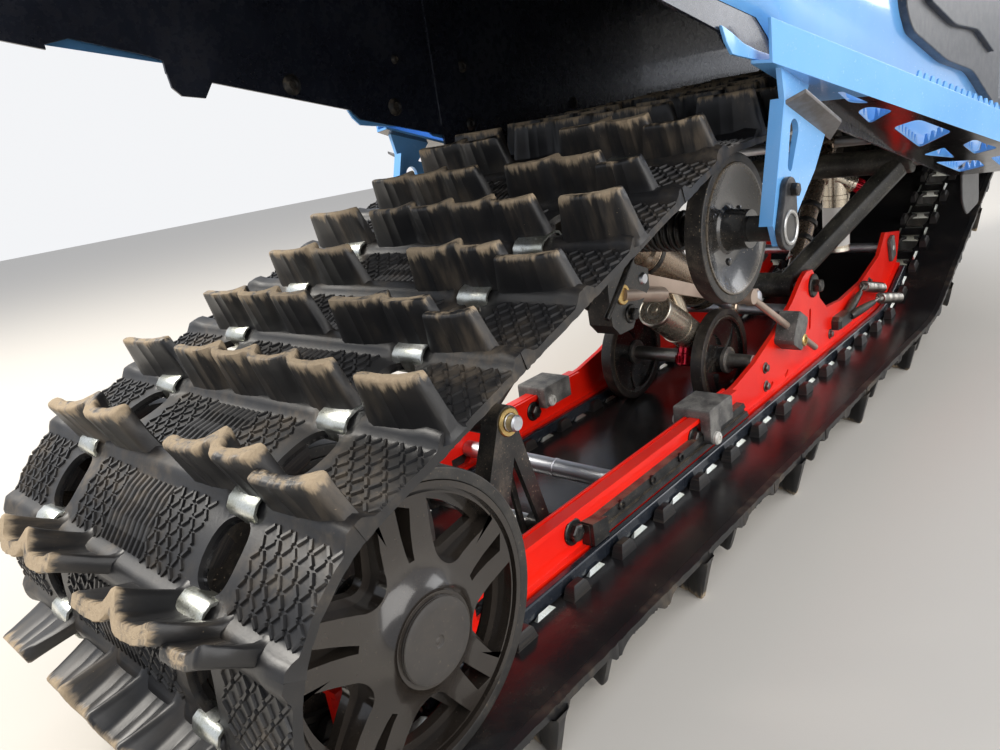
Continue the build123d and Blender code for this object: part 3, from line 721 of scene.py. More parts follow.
def block(points, faces, near, far):
    """Adds a closed form between two outlines with as many points."""
    base, count = len(points), len(near)
    points.extend(near + far)
    faces.append(tuple(range(base + count - 1, base - 1, -1)))
    faces.append(tuple(range(base + count, base + 2 * count)))
    for k in range(count):
        a, b = base + k, base + (k + 1) % count
        faces.append((a, b, b + count, a + count))


def plate(points, faces, outline, y_low, y_high):
    """Adds a flat plate with an (x, z) outline, measured from the rear axle."""
    block(points, faces, *([at(x, y, z) for x, z in outline] for y in (y_low, y_high)))


def capsule(xa, za, ra, xb, zb, rb, around=12):
    """Outline round two circles."""
    facing = atan2(zb - za, xb - xa)
    spread = pi / 2 + (ra - rb) / hypot(xb - xa, zb - za) * 0.5
    outline = []
    for x, z, r, low, high in ((xa, za, ra, facing + spread, facing + 2 * pi - spread),
                               (xb, zb, rb, facing - spread, facing + spread)):
        for k in range(around + 1):
            angle = low + (high - low) * k / around
            outline.append((x + r * cos(angle), z + r * sin(angle)))
    return outline


def bar(xa, za, wide_a, xb, zb, wide_b):
    """Corners of a flat bar between two points, with its width at each."""
    apart = hypot(xb - xa, zb - za)
    nx, nz = -(zb - za) / apart / 2, (xb - xa) / apart / 2
    return [(xa + nx * wide_a, za + nz * wide_a), (xb + nx * wide_b, zb + nz * wide_b),
            (xb - nx * wide_b, zb - nz * wide_b), (xa - nx * wide_a, za - nz * wide_a)]


# columns: distance from the middle of the unit, radius
wheel_profile = [(0.1910, 0.0006), (0.1910, 0.0265), (0.1886, 0.0268), (0.1886, 0.0292), (0.1862, 0.0300),
                 (0.1815, 0.0345), (0.1782, 0.0415), (0.1756, 0.0530), (0.1745, 0.0640), (0.1745, 0.0852),
                 (0.1720, 0.0852), (0.1720, 0.0877), (0.1760, 0.0877), (0.1760, 0.0917), (0.1480, 0.0917),
                 (0.1480, 0.0857), (0.1555, 0.0857), (0.1555, 0.0200), (0.1480, 0.0200), (0.1480, 0.0103)]
spoke_count, first_spoke = 5, radians(86)
pocket_half, pocket_outer, pocket_end, pocket_middle = radians(23), 0.084, 0.015, 0.058
pocket_ledge, pocket_floor_y = 0.006, 0.1625
slot_corners = [(0.047, -0.00225), (0.078, -0.0055), (0.0835, 0.0055), (0.047, 0.00225)]


def pocket(inset, angle):
    """Outline of a wheel's pocket: a round inner end and sides that open out to an arc."""
    half, outer, end = pocket_half - inset / pocket_outer, pocket_outer - inset, pocket_end - inset
    lean = atan2(outer * sin(half) - end, outer * cos(half) - pocket_middle)
    outline = []
    for k in range(13):
        turn_by = pi / 2 + lean + (pi - 2 * lean) * k / 12
        outline.append((pocket_middle + end * cos(turn_by), end * sin(turn_by)))
    outline += [(outer * cos(half * t / 6), outer * sin(half * t / 6)) for t in range(-6, 7)]
    return [(x * cos(angle) - z * sin(angle), x * sin(angle) + z * cos(angle)) for x, z in outline]


disc, cuts = ([], []), ([], [])
for side in (1, -1):
    turned(*disc, at(0, 0, 0), (0, side, 0), wheel_profile, 120)
    for spoke in range(spoke_count):
        angle = first_spoke + 2 * pi * spoke / spoke_count
        between = angle + pi / spoke_count
        plate(*cuts, pocket(0.0, between), side * pocket_floor_y, side * 0.186)
        plate(*cuts, pocket(pocket_ledge, between), side * 0.140, side * 0.170)
        slot = [(x * cos(angle) - z * sin(angle), x * sin(angle) + z * cos(angle)) for x, z in slot_corners]
        plate(*cuts, slot, side * 0.140, side * 0.186)
gloss_plastic = surface("rear_wheel_plastic", (0.026, 0.021, 0.017), (0.019, 0.015, 0.012), 0.22, 0.02,
                        coat=0.4, scale=14.0, relief=0.05)
formed("rear_wheels", gloss_plastic, shells=disc, cut=cuts, width=0.0008,
       replaces=["rear_wheel_discs"])
dull_plastic = surface("inner_wheel_plastic", (0.030, 0.026, 0.022), (0.014, 0.013, 0.012), 0.42, 0.25,
                       scale=30.0)
formed("rear_inner_wheels", dull_plastic, ["rear_inner_discs"], width=0.0006)
ring_rubber = surface("wheel_ring_rubber", (0.024, 0.023, 0.022), (0.016, 0.015, 0.014), 0.50, 0.10,
                      scale=60.0, relief=0.2)
formed("rear_wheel_tyres", ring_rubber, ["rear_wheel_rings"], width=0.0012)
cap_plastic = surface("hub_cap_plastic", (0.040, 0.036, 0.033), (0.032, 0.029, 0.027), 0.44, 0.05,
                      scale=16.0, relief=0.08)
points, faces = [], []
turned_pair(points, faces, 0.0, 0.191, 0.0,
            [(-0.003, 0.0267), (-0.0008, 0.0267), (0.0004, 0.0259), (0.0010, 0.0242), (0.0012, 0.0200),
             (0.0012, 0.0040), (0.0004, 0.0034), (0.0002, 0.0022), (0.0007, 0.0012), (0.0007, 0.0002)], 72)
piece("rear_hub_caps", points, faces, cap_plastic, 32.0)
shaft_steel = bare_metal("shaft_steel", (0.62, 0.62, 0.61), (0.38, 0.38, 0.37), 0.30, 40.0, 0.35,
                         (1.0, 0.08, 1.0))
formed("wheel_axle", shaft_steel, ["rear_axle"], width=0.0008)

# Upper wheels: plain dished discs of glossy black plastic, riveted to their hubs on the
# upper shaft. Tan dust lies in the dish and on the lip of the rubber ring.
upper_x, upper_z, upper_face_y = 0.399, 0.165, 0.199
upper_plastic = surface("upper_wheel_plastic", (0.014, 0.0135, 0.0135), (0.009, 0.009, 0.009), 0.20, 0.10,
                        coat=0.4, scale=34.0, ring=(at(upper_x, 0, upper_z), 0.048, 0.060, 0.30))


def nearer(face, share):
    """Makes a pair of wheels narrower, with their outer faces where they are."""
    def moved(spot):
        return Vector((spot.x, (1 if spot.y > 0 else -1) * (face - max(-0.03, face - abs(spot.y)) * share),
                       spot.z))
    return moved


shells = ([], [])
# columns: distance from the middle of the unit, radius
dish_profile = [(0.2120, 0.0112), (0.2120, 0.0165), (0.1990, 0.0178), (0.1925, 0.0190), (0.1905, 0.0215),
                (0.1900, 0.0270), (0.1912, 0.0340), (0.1935, 0.0420), (0.1962, 0.0490), (0.1988, 0.0535),
                (0.1998, 0.0552), (0.1998, 0.0565), (0.1986, 0.0570), (0.1830, 0.0570), (0.1830, 0.0540),
                (0.1880, 0.0400), (0.1870, 0.0112)]
turned_pair(*shells, upper_x, 0, upper_z, dish_profile, 112)
formed("upper_wheels", upper_plastic, shells=shells, replaces=["upper_wheel_discs"])
lip_rubber = surface("upper_ring_rubber", (0.026, 0.024, 0.022), (0.014, 0.013, 0.012), 0.46, 0.20,
                     scale=70.0, relief=0.4)
formed("upper_wheel_tyres", lip_rubber, ["upper_wheel_rings"], width=0.0012,
       reshape=nearer(upper_face_y, 0.8))
shaft_black = surface("shaft_black", (0.026, 0.025, 0.024), (0.014, 0.014, 0.013), 0.34, 0.12, scale=60.0)
formed("upper_cross_shaft", shaft_black, ["upper_shaft"], width=0.0012)
rivet_count, rivet_circle, first_rivet = 3, 0.0285, 0.5
points, faces = [], []
for side in (1, -1):
    for k in range(rivet_count):
        angle = first_rivet + 2 * pi * k / rivet_count
        spot = at(upper_x + rivet_circle * cos(angle), side * 0.1896, upper_z + rivet_circle * sin(angle))
        turned(points, faces, spot, (0, side, 0), [(0.0, 0.0036), (0.0020, 0.0034), (0.0026, 0.0024)], 14)
piece("upper_wheel_rivets", points, faces, upper_plastic, 32.0)

# Middle wheels: black discs with curved ribs between hub and rim, turning between the
# rails. Their rims are rubbed dusty, and a grey cap closes the bearing in each hub.
mid_x, mid_z = 0.618, -0.036
mid_plastic = surface("mid_wheel_plastic", (0.014, 0.013, 0.013), (0.008, 0.008, 0.008), 0.22, 0.12,
                      coat=0.3, scale=40.0, ring=(at(mid_x, 0, mid_z), 0.052, 0.0585, 0.35))


def between_rails(spot):
    """Middle wheels stand 8 mm further in than their plain solids, and are narrower."""
    way = 1 if spot.y > 0 else -1
    return Vector((spot.x, way * (0.057 + (abs(spot.y) - 0.060) * 0.75), spot.z))


formed("mid_wheels", mid_plastic, ["mid_wheel_discs"], width=0.0006, reshape=between_rails)
formed("mid_wheel_tyres", lip_rubber, ["mid_wheel_rings"], width=0.0012,
       reshape=between_rails)
spacer_alloy = bare_metal("spacer_alloy", (0.55, 0.54, 0.50), (0.36, 0.35, 0.33), 0.42, 50.0, 0.4)
formed("mid_cross_shaft", spacer_alloy, ["mid_shaft"], width=0.0010)
points, faces = [], []
for side in (1, -1):
    for face_y, way in ((side * 0.0645, side), (side * 0.0625, -side)):
        for k in range(5):
            start = 2 * pi * k / 5 + 0.3
            base = len(points)
            for i in range(9):
                t = i / 8
                radius = 0.020 + 0.032 * t
                angle = start + 0.55 * t
                wide = (0.0055 + 0.004 * t) / radius / 2
                for turn_by, height in ((-wide, 0.0), (-wide * 0.7, 0.0042), (wide * 0.7, 0.0042),
                                        (wide, 0.0)):
                    points.append(at(mid_x + radius * cos(angle + turn_by), face_y + way * height,
                                     mid_z + radius * sin(angle + turn_by)))
            for i in range(8):
                for lane in range(3):
                    a = base + i * 4 + lane
                    quad = (a, a + 1, a + 5, a + 4)
                    faces.append(quad if way > 0 else quad[::-1])
piece("mid_wheel_ribs", points, faces, mid_plastic, 30.0)
points, faces = [], []
for side in (1, -1):
    for y, way in ((0.0762, 1), (0.0562, -1)):
        turned(points, faces, at(mid_x, side * y, mid_z), (0, side * way, 0),
               [(-0.004, 0.0166), (0.0008, 0.0166), (0.0016, 0.0158), (0.0018, 0.0128), (0.0008, 0.0122),
                (0.0008, 0.0092)], 48)
cap_grey = surface("bearing_cap_grey", (0.115, 0.108, 0.098), (0.065, 0.062, 0.058), 0.42, 0.3, scale=70.0)
piece("mid_bearing_caps", points, faces, cap_grey, 30.0)

# Rails: one folded and welded alloy beam on each side, painted bright red, with a groove
# along its top flange. Black and plated bolts hold the shafts and blocks to its web.
rail_paint = surface("rail_red", (0.95, 0.012, 0.001), (0.86, 0.008, 0.001), 0.34, 0.03, coat=0.12,
                     scale=14.0, relief=0.10, settle=0.08)
rail_windows = [[(0.099, -0.063), (0.127, -0.061), (0.115, -0.084), (0.099, -0.077)],
                [(0.298, -0.070), (0.334, -0.070), (0.322, -0.084), (0.298, -0.083)]]
rail_slots = [(0.789, -0.017, 0.0035, 0.786, -0.039, 0.0035), (0.706, -0.076, 0.0025, 0.699, -0.080, 0.0025),
              (0.657, -0.076, 0.0025, 0.651, -0.079, 0.0025)]
cuts = ([], [])
for side in (1, -1):
    for outline in rail_windows + [capsule(*ends) for ends in rail_slots]:
        plate(*cuts, outline, side * 0.100, side * 0.123)
    plate(*cuts, [(-0.036, -0.0468), (0.547, -0.0468), (0.547, -0.040), (-0.036, -0.040)],
          side * 0.1085, side * 0.1055)
formed("rails", rail_paint, ["rail_left", "rail_right"], cut=cuts, width=0.0009)
rail_web_y, rail_half_web = 0.1115, 0.003


def bolt(points, faces, centre, axis, radius, height, flange=1.45):
    """Adds a flanged hexagon head with a bevelled top."""
    turned(points, faces, centre, axis, [(-0.0008, radius * flange), (height * 0.16, radius * flange),
                                         (height * 0.26, radius * flange * 0.90)], 24)
    turned(points, faces, centre, axis, [(0.0, radius), (height * 0.86, radius), (height, radius * 0.80)], 6)
    turned(points, faces, centre, axis, [(height, radius * 0.58), (height * 1.03, radius * 0.54)], 18)


black_bolts, black_faces, plated_bolts, plated_faces = [], [], [], []
for side in (1, -1):
    outer, inner = side * (rail_web_y + rail_half_web), side * (rail_web_y - rail_half_web)
    for x, z in ((0.226, -0.0655), (0.448, -0.0660)):
        bolt(black_bolts, black_faces, at(x, outer, z), (0, side, 0), 0.0085, 0.008)
        bolt(black_bolts, black_faces, at(x, inner, z), (0, -side, 0), 0.0085, 0.008)
    for x, z in ((0.637, -0.049), (0.637, -0.073), (0.863, -0.071), (1.040, -0.036)):
        bolt(plated_bolts, plated_faces, at(x, outer, z), (0, side, 0), 0.0050, 0.0045)
        bolt(plated_bolts, plated_faces, at(x, inner, z), (0, -side, 0), 0.0050, 0.0045)
    bolt(black_bolts, black_faces, at(0.800, outer, 0.016), (0, side, 0), 0.0095, 0.013, 1.7)
    bolt(black_bolts, black_faces, at(0.0, side * 0.1145, 0.0), (0, side, 0), 0.012, 0.010, 1.6)
    for x in (0.290, 0.346, 0.402, 0.470):
        turned(black_bolts, black_faces, at(x, side * 0.1235, -0.0680), (0, side, 0),
               [(-0.001, 0.0052), (0.0016, 0.0052), (0.0024, 0.0046), (0.0024, 0.0030), (0.0006, 0.0026)], 20)
bolt_black = surface("bolt_black", (0.035, 0.035, 0.036), (0.012, 0.012, 0.012), 0.32, 0.25, metal=0.5,
                     scale=120.0)
piece("black_bolts", black_bolts, black_faces, bolt_black, 30.0)
bolt_plated = bare_metal("bolt_plate", (0.22, 0.21, 0.20), (0.10, 0.09, 0.08), 0.38, 200.0, 0.6)
piece("plated_bolts", plated_bolts, plated_faces, bolt_plated, 30.0)

# Slides: black polyethylene strips on the rails' feet. Wear has polished their round
# shoulders. Their black carries a blue tint along the whole run, a painted reflection of the sky.
# The blue in these colours is a painted reflection of the sky, not the plastic's own colour.
slide_plastic_painted_sheen = surface("slide_black_painted_sheen", (0.022, 0.028, 0.038), (0.012, 0.015, 0.021), 0.20, 0.06, coat=0.4,
                        scale=26.0, relief=0.06)


def fuller(spot):
    """Slides bulge past the rails' feet, a fifth wider than their plain solids."""
    way = 1 if spot.y > 0 else -1
    return Vector((spot.x, way * (rail_web_y + (abs(spot.y) - rail_web_y) * 1.2), spot.z))


formed("slides", slide_plastic_painted_sheen, ["slide_left", "slide_right"], width=0.0042, crease=50.0,
       segments=4, reshape=fuller)
strip_black = surface("side_strip_black", (0.022, 0.022, 0.022), (0.014, 0.014, 0.014), 0.34, 0.12,
                      scale=60.0, settle=0.35)
shells, cuts = ([], []), ([], [])
for side in (1, -1):
    plate(*shells, [(0.239, -0.084), (0.262, -0.084), (0.262, -0.065), (0.239, -0.062)],
          side * 0.1145, side * 0.1275)
    plate(*cuts, [(0.266, -0.077), (0.570, -0.077), (0.570, -0.071), (0.266, -0.071)],
          side * 0.1205, side * 0.126)
formed("side_strips", strip_black, ["rail_brace_left", "rail_brace_right"], shells, cuts,
       0.0009)

# Stop blocks: grey plastic saddles bolted astride the rails, and a small one at each tip.
# Their edges are scuffed light, and a white screw holds each one's leg.
block_grey = surface("block_grey", (0.150, 0.145, 0.135), (0.070, 0.068, 0.066), 0.52, 0.30, scale=55.0,
                     relief=0.5, settle=0.35, dust_colour=(0.46, 0.44, 0.40))
shells = ([], [])


def turned_about(outline, x, z, lean):
    """Outline turned by an angle and moved to a place."""
    return [(x + u * cos(lean) - v * sin(lean), z + u * sin(lean) + v * cos(lean)) for u, v in outline]


for side in (1, -1):
    saddle = [(0.452, -0.046), (0.506, -0.046), (0.506, -0.0365), (0.504, -0.0345), (0.454, -0.0345),
              (0.452, -0.0365)]
    plate(*shells, saddle, side * 0.0895, side * 0.1335)
    for y in (0.0895, 0.1213):
        plate(*shells, [(0.452, -0.062), (0.506, -0.062), (0.506, -0.044), (0.452, -0.044)], side * y,
              side * (y + 0.0122))
    plate(*shells, [(0.452, -0.0700), (0.455, -0.0745), (0.464, -0.0760), (0.473, -0.0730), (0.476, -0.0680),
                    (0.476, -0.060), (0.452, -0.060)],
          side * 0.1240, side * 0.1335)
    for y in (0.1025, 0.1145):
        tip = [(-0.012, -0.020), (0.012, -0.020), (0.012, 0.016), (0.008, 0.020), (-0.008, 0.020),
               (-0.012, 0.016)]
        plate(*shells, turned_about(tip, 1.150, -0.004, radians(18)), side * y, side * (y + 0.006))
formed("stop_blocks", block_grey, shells=shells, width=0.0014,
       replaces=["stop_block_left", "stop_block_right"])
shells, cuts = ([], []), ([], [])
body = [(-0.013, -0.022), (0.013, -0.022), (0.017, -0.018), (0.017, 0.018), (0.013, 0.022), (-0.013, 0.022),
        (-0.017, 0.018), (-0.017, -0.018)]
plate(*shells, turned_about(body, 0.690, -0.0150, radians(-32)), -0.1140, -0.1400)
formed("guide_saddle", block_grey, shells=shells, width=0.0012)
points, faces = [], []
for side in (1, -1):
    for y, way in ((0.1335, 1), (0.0895, -1)):
        turned(points, faces, at(0.462 if way > 0 else 0.463, side * y, -0.0690 if way > 0 else -0.0540),
               (0, side * way, 0),
               [(-0.001, 0.0072), (0.0028, 0.0072), (0.0046, 0.0056), (0.0048, 0.0030), (0.0030, 0.0026)], 24)
        turned(points, faces, at(1.150, side * (y - way * 0.016), -0.004), (0, side * way, 0),
               [(-0.001, 0.0052), (0.0022, 0.0052), (0.0032, 0.0040)], 20)
screw_white = surface("screw_white", (0.70, 0.69, 0.64), (0.48, 0.46, 0.42), 0.42, 0.25, scale=160.0)
piece("block_screws", points, faces, screw_white, 30.0)
points, faces = [], []
turned(points, faces, at(0.700, -0.1395, -0.0300), (0, -1, 0),
       [(-0.002, 0.0080), (0.001, 0.0080), (0.002, 0.0070), (0.002, 0.0042), (0.0, 0.0038)], 24)
for side in (1, -1):
    turned(points, faces, at(0.198, side * 0.0842, 0.045), (0, side, 0),
           [(-0.001, 0.0125), (0.0010, 0.0125), (0.0018, 0.0118), (0.0018, 0.0088), (0.0006, 0.0086)], 36)
turned(points, faces, at(0.400, -0.0740, 0.103), (0, -1, 0),
       [(-0.001, 0.0105), (0.0016, 0.0105), (0.0024, 0.0098), (0.0024, 0.0068), (0.0006, 0.0064)], 30)
brass = bare_metal("bush_brass", (0.80, 0.58, 0.24), (0.52, 0.35, 0.13), 0.34, 120.0, 0.35)
piece("brass_bushes", points, faces, brass, 30.0)

# Cross members: bright drawn tubes and steel pins between the rails, scuffed lengthways. A
# thin collar sits on the rear tube, and the links' upper pins end in bright caps.
tube_bright = bare_metal("tube_bright", (0.74, 0.76, 0.80), (0.60, 0.61, 0.64), 0.42, 30.0, 0.06,
                         (1.0, 0.06, 1.0))
shells = ([], [])
for x, z, radius in ((0.326, -0.066, 0.0095), (1.118, 0.003, 0.0080), (0.736, -0.002, 0.0080)):
    turned(*shells, at(x, -0.1085, z), (0, 1, 0),
           [(0.0, radius - 0.0008), (0.0008, radius), (0.2162, radius), (0.2170, radius - 0.0008)], 48)
turned(*shells, at(1.020, -0.219, 0.186), (0, 1, 0),
       [(0.0, 0.0072), (0.0008, 0.0080), (0.4372, 0.0080), (0.4380, 0.0072)], 48)
formed("cross_members", tube_bright, shells=shells, replaces=["cross_tubes"])
formed("link_pins", shaft_steel, ["link_shafts"], width=0.0008)
formed("arm_shafts", shaft_steel, ["front_shafts"], width=0.0008)
points, faces = [], []
turned(points, faces, at(0.326, -0.022, -0.066), (0, 1, 0),
       [(0.0, 0.0096), (0.0003, 0.0102), (0.0030, 0.0102), (0.0033, 0.0096)], 40)
turned_pair(points, faces, 0.198, 0.0850, 0.045, [(0.0, 0.0072), (0.0085, 0.0072), (0.0100, 0.0058)], 26)
piece("pin_ends", points, faces, tube_bright, 30.0)

# Links and arms: pressed plate and welded tube, painted satin black. Dust lies along
# what faces up, and the front arm's legs turn light tan-grey in patches and on what faces up.
arm_black = surface("arm_black", (0.024, 0.023, 0.022), (0.010, 0.010, 0.010), 0.34, 0.20, coat=0.15,
                    scale=38.0, settle=0.30)
pivot, foot, back_foot = (0.198, 0.045), (0.230, -0.072), (0.150, -0.072)
# columns: foot, width at the top, width at the foot, inner and outer distance from the middle
link_legs = [(back_foot, 0.026, 0.030, 0.066, 0.084), (foot, 0.016, 0.013, 0.0786, 0.084),
             ((0.214, -0.072), 0.008, 0.005, 0.066, 0.0696)]
shells, cuts = ([], []), ([], [])
for side in (1, -1):
    for (x, z), wide_top, wide_foot, inner, outer in link_legs:
        plate(*shells, bar(*pivot, wide_top, x, z, wide_foot), side * inner, side * outer)
    for x, z in (pivot, foot, back_foot):
        turned(*shells, at(x, side * 0.066, z), (0, side, 0), [(0.0, 0.014), (0.018, 0.014)], 40)
        plate(*cuts, capsule(x - 0.0005, z, 0.0083, x + 0.0005, z, 0.0083), side * 0.060, side * 0.090)
    plate(*cuts, bar(0.190, 0.021, 0.008, 0.156, -0.050, 0.016), side * 0.060, side * 0.079)
formed("suspension_links", arm_black, shells=shells, cut=cuts, width=0.0008,
       replaces=["rear_links"])
casting = [(0.412, 0.178), (0.386, 0.178), (0.376, 0.112), (0.378, 0.076), (0.390, 0.064), (0.414, 0.064),
           (0.428, 0.080), (0.452, 0.098), (0.452, 0.118), (0.428, 0.128)]
shells, cuts = ([], []), ([], [])
plate(*shells, casting, -0.046, -0.074)
plate(*cuts, [(0.426, 0.070), (0.480, 0.070), (0.480, 0.138), (0.426, 0.138)], -0.053, -0.061)
for y in (-0.012, -0.045):
    plate(*shells, capsule(upper_x, upper_z, 0.019, 0.452, 0.160, 0.010), y, y + 0.005)
turned(*shells, at(0.452, -0.047, 0.160), (0, 1, 0), [(0.0, 0.005), (0.042, 0.005)], 24)
formed("swing_arm_rear", arm_black, ["rear_arm"], shells, cuts, 0.0010)
leg_black = surface("leg_black", (0.036, 0.034, 0.031), (0.014, 0.014, 0.013), 0.38, 0.45, scale=22.0,
                    settle=0.50, dust_colour=(0.27, 0.25, 0.19))
shells = ([], [])
arm_top, arm_foot, arm_eye = (0.909, 0.162), (0.800, 0.016), (0.868, 0.012)
turned(*shells, at(arm_top[0], -0.210, arm_top[1]), (0, 1, 0),
       [(0.0, 0.0155), (0.0015, 0.017), (0.4185, 0.017), (0.420, 0.0155)], 48)
turned(*shells, at(arm_foot[0], -0.091, arm_foot[1]), (0, 1, 0),
       [(0.0, 0.0155), (0.0015, 0.017), (0.1805, 0.017), (0.182, 0.0155)], 48)
for side in (1, -1):
    top, low = at(arm_top[0], side * 0.196, arm_top[1]), at(arm_foot[0], side * 0.077, arm_foot[1])
    turned(*shells, low, top - low, [(0.0, 0.0155), ((top - low).length, 0.0155)], 12)
for y in (-0.078, -0.047):
    plate(*shells, bar(*arm_foot, 0.024, *arm_eye, 0.020), y, y + 0.005)
    turned(*shells, at(arm_eye[0], y, arm_eye[1]), (0, 1, 0), [(0.0, 0.010), (0.005, 0.010)], 30)
formed("swing_arm_front", leg_black, shells=shells, width=0.0012, replaces=["front_arm"])
points, faces = [], []
for x, z in ((0.402, 0.142), (0.412, 0.080)):
    bolt(points, faces, at(x, -0.074, z), (0, -1, 0), 0.0068, 0.0070)
bolt(points, faces, at(0.382, -0.046, 0.100), (0, 1, 0), 0.0068, 0.0070)
for x, y, z in ((0.452, -0.047, 0.160), (0.452, -0.005, 0.160), (0.868, -0.082, 0.012),
                (0.868, -0.038, 0.012)):
    bolt(points, faces, at(x, y, z), (0, -1 if y < -0.03 else 1, 0), 0.0080, 0.0065)
piece("casting_bolts", points, faces, bolt_black, 30.0)

# Pull link: a flat tan bar forward from the casting, with a bright ball stud at its rear end
# and a pin at its front, and the round rod that slides in the guide block.
link_tan = surface("link_tan", (0.56, 0.44, 0.36), (0.46, 0.36, 0.29), 0.32, 0.06, metal=0.55, scale=20.0,
                   relief=0.05)
shells = ([], [])
plate(*shells, bar(0.440, 0.110, 0.017, 0.655, 0.036, 0.014), -0.054, -0.060)
turned(*shells, at(0.440, -0.060, 0.110), (0, 1, 0), [(0.0, 0.012), (0.006, 0.012)], 36)
turned(*shells, at(0.402, -0.070, 0.102), at(0.500, -0.060, 0.078) - at(0.402, -0.070, 0.102),
       [(0.0, 0.0085), (0.100, 0.0085)], 30)
turned(*shells, at(0.655, -0.102, 0.036), (0, 1, 0), [(0.0, 0.0060), (0.048, 0.0060)], 30)
turned(*shells, at(0.655, -0.100, 0.036), (0, 1, 0), [(0.0, 0.0110), (0.012, 0.0110)], 36)
guide_start, guide_end = at(0.575, -0.127, 0.058), at(0.770, -0.127, -0.062)
turned(*shells, guide_start, guide_end - guide_start, [(0.0, 0.0045), (0.2280, 0.0045), (0.2290, 0.0036)], 24)
turned(*shells, at(0.575, -0.104, 0.058), (0, -1, 0), [(0.0, 0.0090), (0.0290, 0.0090)], 30)
formed("tie_link", link_tan, shells=shells, width=0.0008)
points, faces = [], []
turned(points, faces, at(0.440, -0.0605, 0.110), (0, -1, 0),
       [(0.0, 0.0070), (0.0022, 0.0096), (0.0060, 0.0108), (0.0098, 0.0096), (0.0120, 0.0070),
        (0.0150, 0.0062), (0.0165, 0.0050)], 30)
turned(points, faces, at(0.655, -0.1005, 0.036), (0, -1, 0),
       [(0.0, 0.0085), (0.0020, 0.0085), (0.0030, 0.0070), (0.0040, 0.0040)], 24)
piece("ball_stud", points, faces, tube_bright, 30.0)

# Shock absorbers: turned alloy bodies anodised bronze, banded with black clamps, with a
# bright piston rod, a plain gas canister beside each and red knobs that set the damping.
bronze = surface("shock_bronze", (0.40, 0.315, 0.235), (0.31, 0.24, 0.18), 0.27, 0.03, metal=0.85,
                 scale=12.0, relief=0.02)
shells = ([], [])
front_eye, front_top = at(arm_eye[0], -0.060, arm_eye[1]), at(1.020, -0.060, 0.186)
rear_eye, rear_foot = at(0.452, -0.026, 0.160), at(0.736, -0.026, -0.002)
# columns: share of the length between the eyes, radius
front_steps = [(0.03, 0.0085), (0.05, 0.0100), (0.118, 0.0100), (0.125, 0.0122), (0.135, 0.0130),
               (0.695, 0.0130), (0.705, 0.0160), (0.74, 0.0162), (0.745, 0.0155), (0.93, 0.0160),
               (0.955, 0.0120)]
rear_steps = [(0.02, 0.0100), (0.07, 0.0110), (0.085, 0.0205), (0.10, 0.0220), (0.195, 0.0220),
              (0.205, 0.0260), (0.235, 0.0262), (0.24, 0.0275), (0.268, 0.0275), (0.272, 0.0260),
              (0.655, 0.0260), (0.66, 0.0275), (0.715, 0.0272), (0.722, 0.0120)]
for start, end, steps in ((front_eye, front_top, front_steps), (rear_eye, rear_foot, rear_steps)):
    turned(*shells, start, end - start,
           [(share * (end - start).length, radius) for share, radius in steps], 64)
    for eye in (start, end):
        turned(*shells, eye - Vector((0, 0.013, 0)), (0, 1, 0),
               [(0.0, 0.0115), (0.0015, 0.0130), (0.0245, 0.0130), (0.026, 0.0115)], 40)
formed("shock_bodies", bronze, shells=shells)
points, faces = [], []
rod_run = rear_foot - rear_eye
turned(points, faces, rear_eye + rod_run * 0.70, rod_run,
       [(0.0, 0.0070), (rod_run.length * 0.27, 0.0070)], 36)
piece("piston_rod", points, faces, tube_bright, 30.0)
canister_alloy = surface("canister_alloy", (0.60, 0.53, 0.43), (0.50, 0.44, 0.35), 0.26, 0.03, metal=0.88,
                         scale=12.0, relief=0.02)
shells = ([], [])
canister_top, canister_foot = at(1.055, -0.060, 0.152), at(1.054, -0.060, 0.012)
rear_canister_rear, rear_canister_front = at(0.520, -0.036, 0.054), at(0.600, -0.036, -0.002)
for start, end in ((canister_top, canister_foot), (rear_canister_front, rear_canister_rear)):
    length = (end - start).length
    turned(*shells, start, end - start, [(0.0, 0.0150), (0.003, 0.0190), (0.006, 0.0200),
                                         (length * 0.35, 0.0200), (length * 0.355, 0.0210),
                                         (length * 0.40, 0.0210), (length * 0.405, 0.0200),
                                         (length - 0.001, 0.0200), (length, 0.0190)], 64)
for start, end, radius in ((at(0.992, -0.060, 0.152), at(1.052, -0.060, 0.138), 0.011),
                           (at(0.572, -0.028, 0.074), at(0.586, -0.036, 0.010), 0.011)):
    turned(*shells, start, end - start, [(0.0, radius), ((end - start).length, radius)], 40)
adjuster_start, adjuster_end = at(1.046, -0.062, 0.131), at(1.062, -0.086, 0.116)
length = (adjuster_end - adjuster_start).length
turned(*shells, adjuster_start, adjuster_end - adjuster_start,
       [(0.0, 0.0130), (length * 0.45, 0.0130), (length * 0.5, 0.0138), (length * 0.62, 0.0138),
        (length * 0.66, 0.0128), (length * 0.8, 0.0128), (length * 0.84, 0.0140), (length - 0.001, 0.0140),
        (length, 0.0130)], 48)
formed("gas_canisters", canister_alloy, shells=shells)
knob_red = surface("knob_red", (0.66, 0.006, 0.030), (0.40, 0.003, 0.015), 0.20, 0.05, metal=0.75, coat=0.3,
                   scale=60.0)
shells = ([], [])
knob_low, knob_foot = at(0.590, -0.036, 0.004), at(0.578, -0.036, -0.034)
knob_run = (knob_foot - knob_low).length
turned(*shells, adjuster_end, adjuster_end - adjuster_start,
       [(0.0, 0.0100), (0.013, 0.0100), (0.015, 0.0085), (0.0152, 0.0040), (0.0142, 0.0036)], 40)
turned(*shells, knob_low, knob_foot - knob_low, [(0.0, 0.0090), (knob_run - 0.016, 0.0090),
                                                 (knob_run - 0.015, 0.0100), (knob_run - 0.002, 0.0100),
                                                 (knob_run, 0.0085), (knob_run + 0.0002, 0.0040)], 40)
formed("damping_knobs", knob_red, shells=shells)
points, faces = [], []
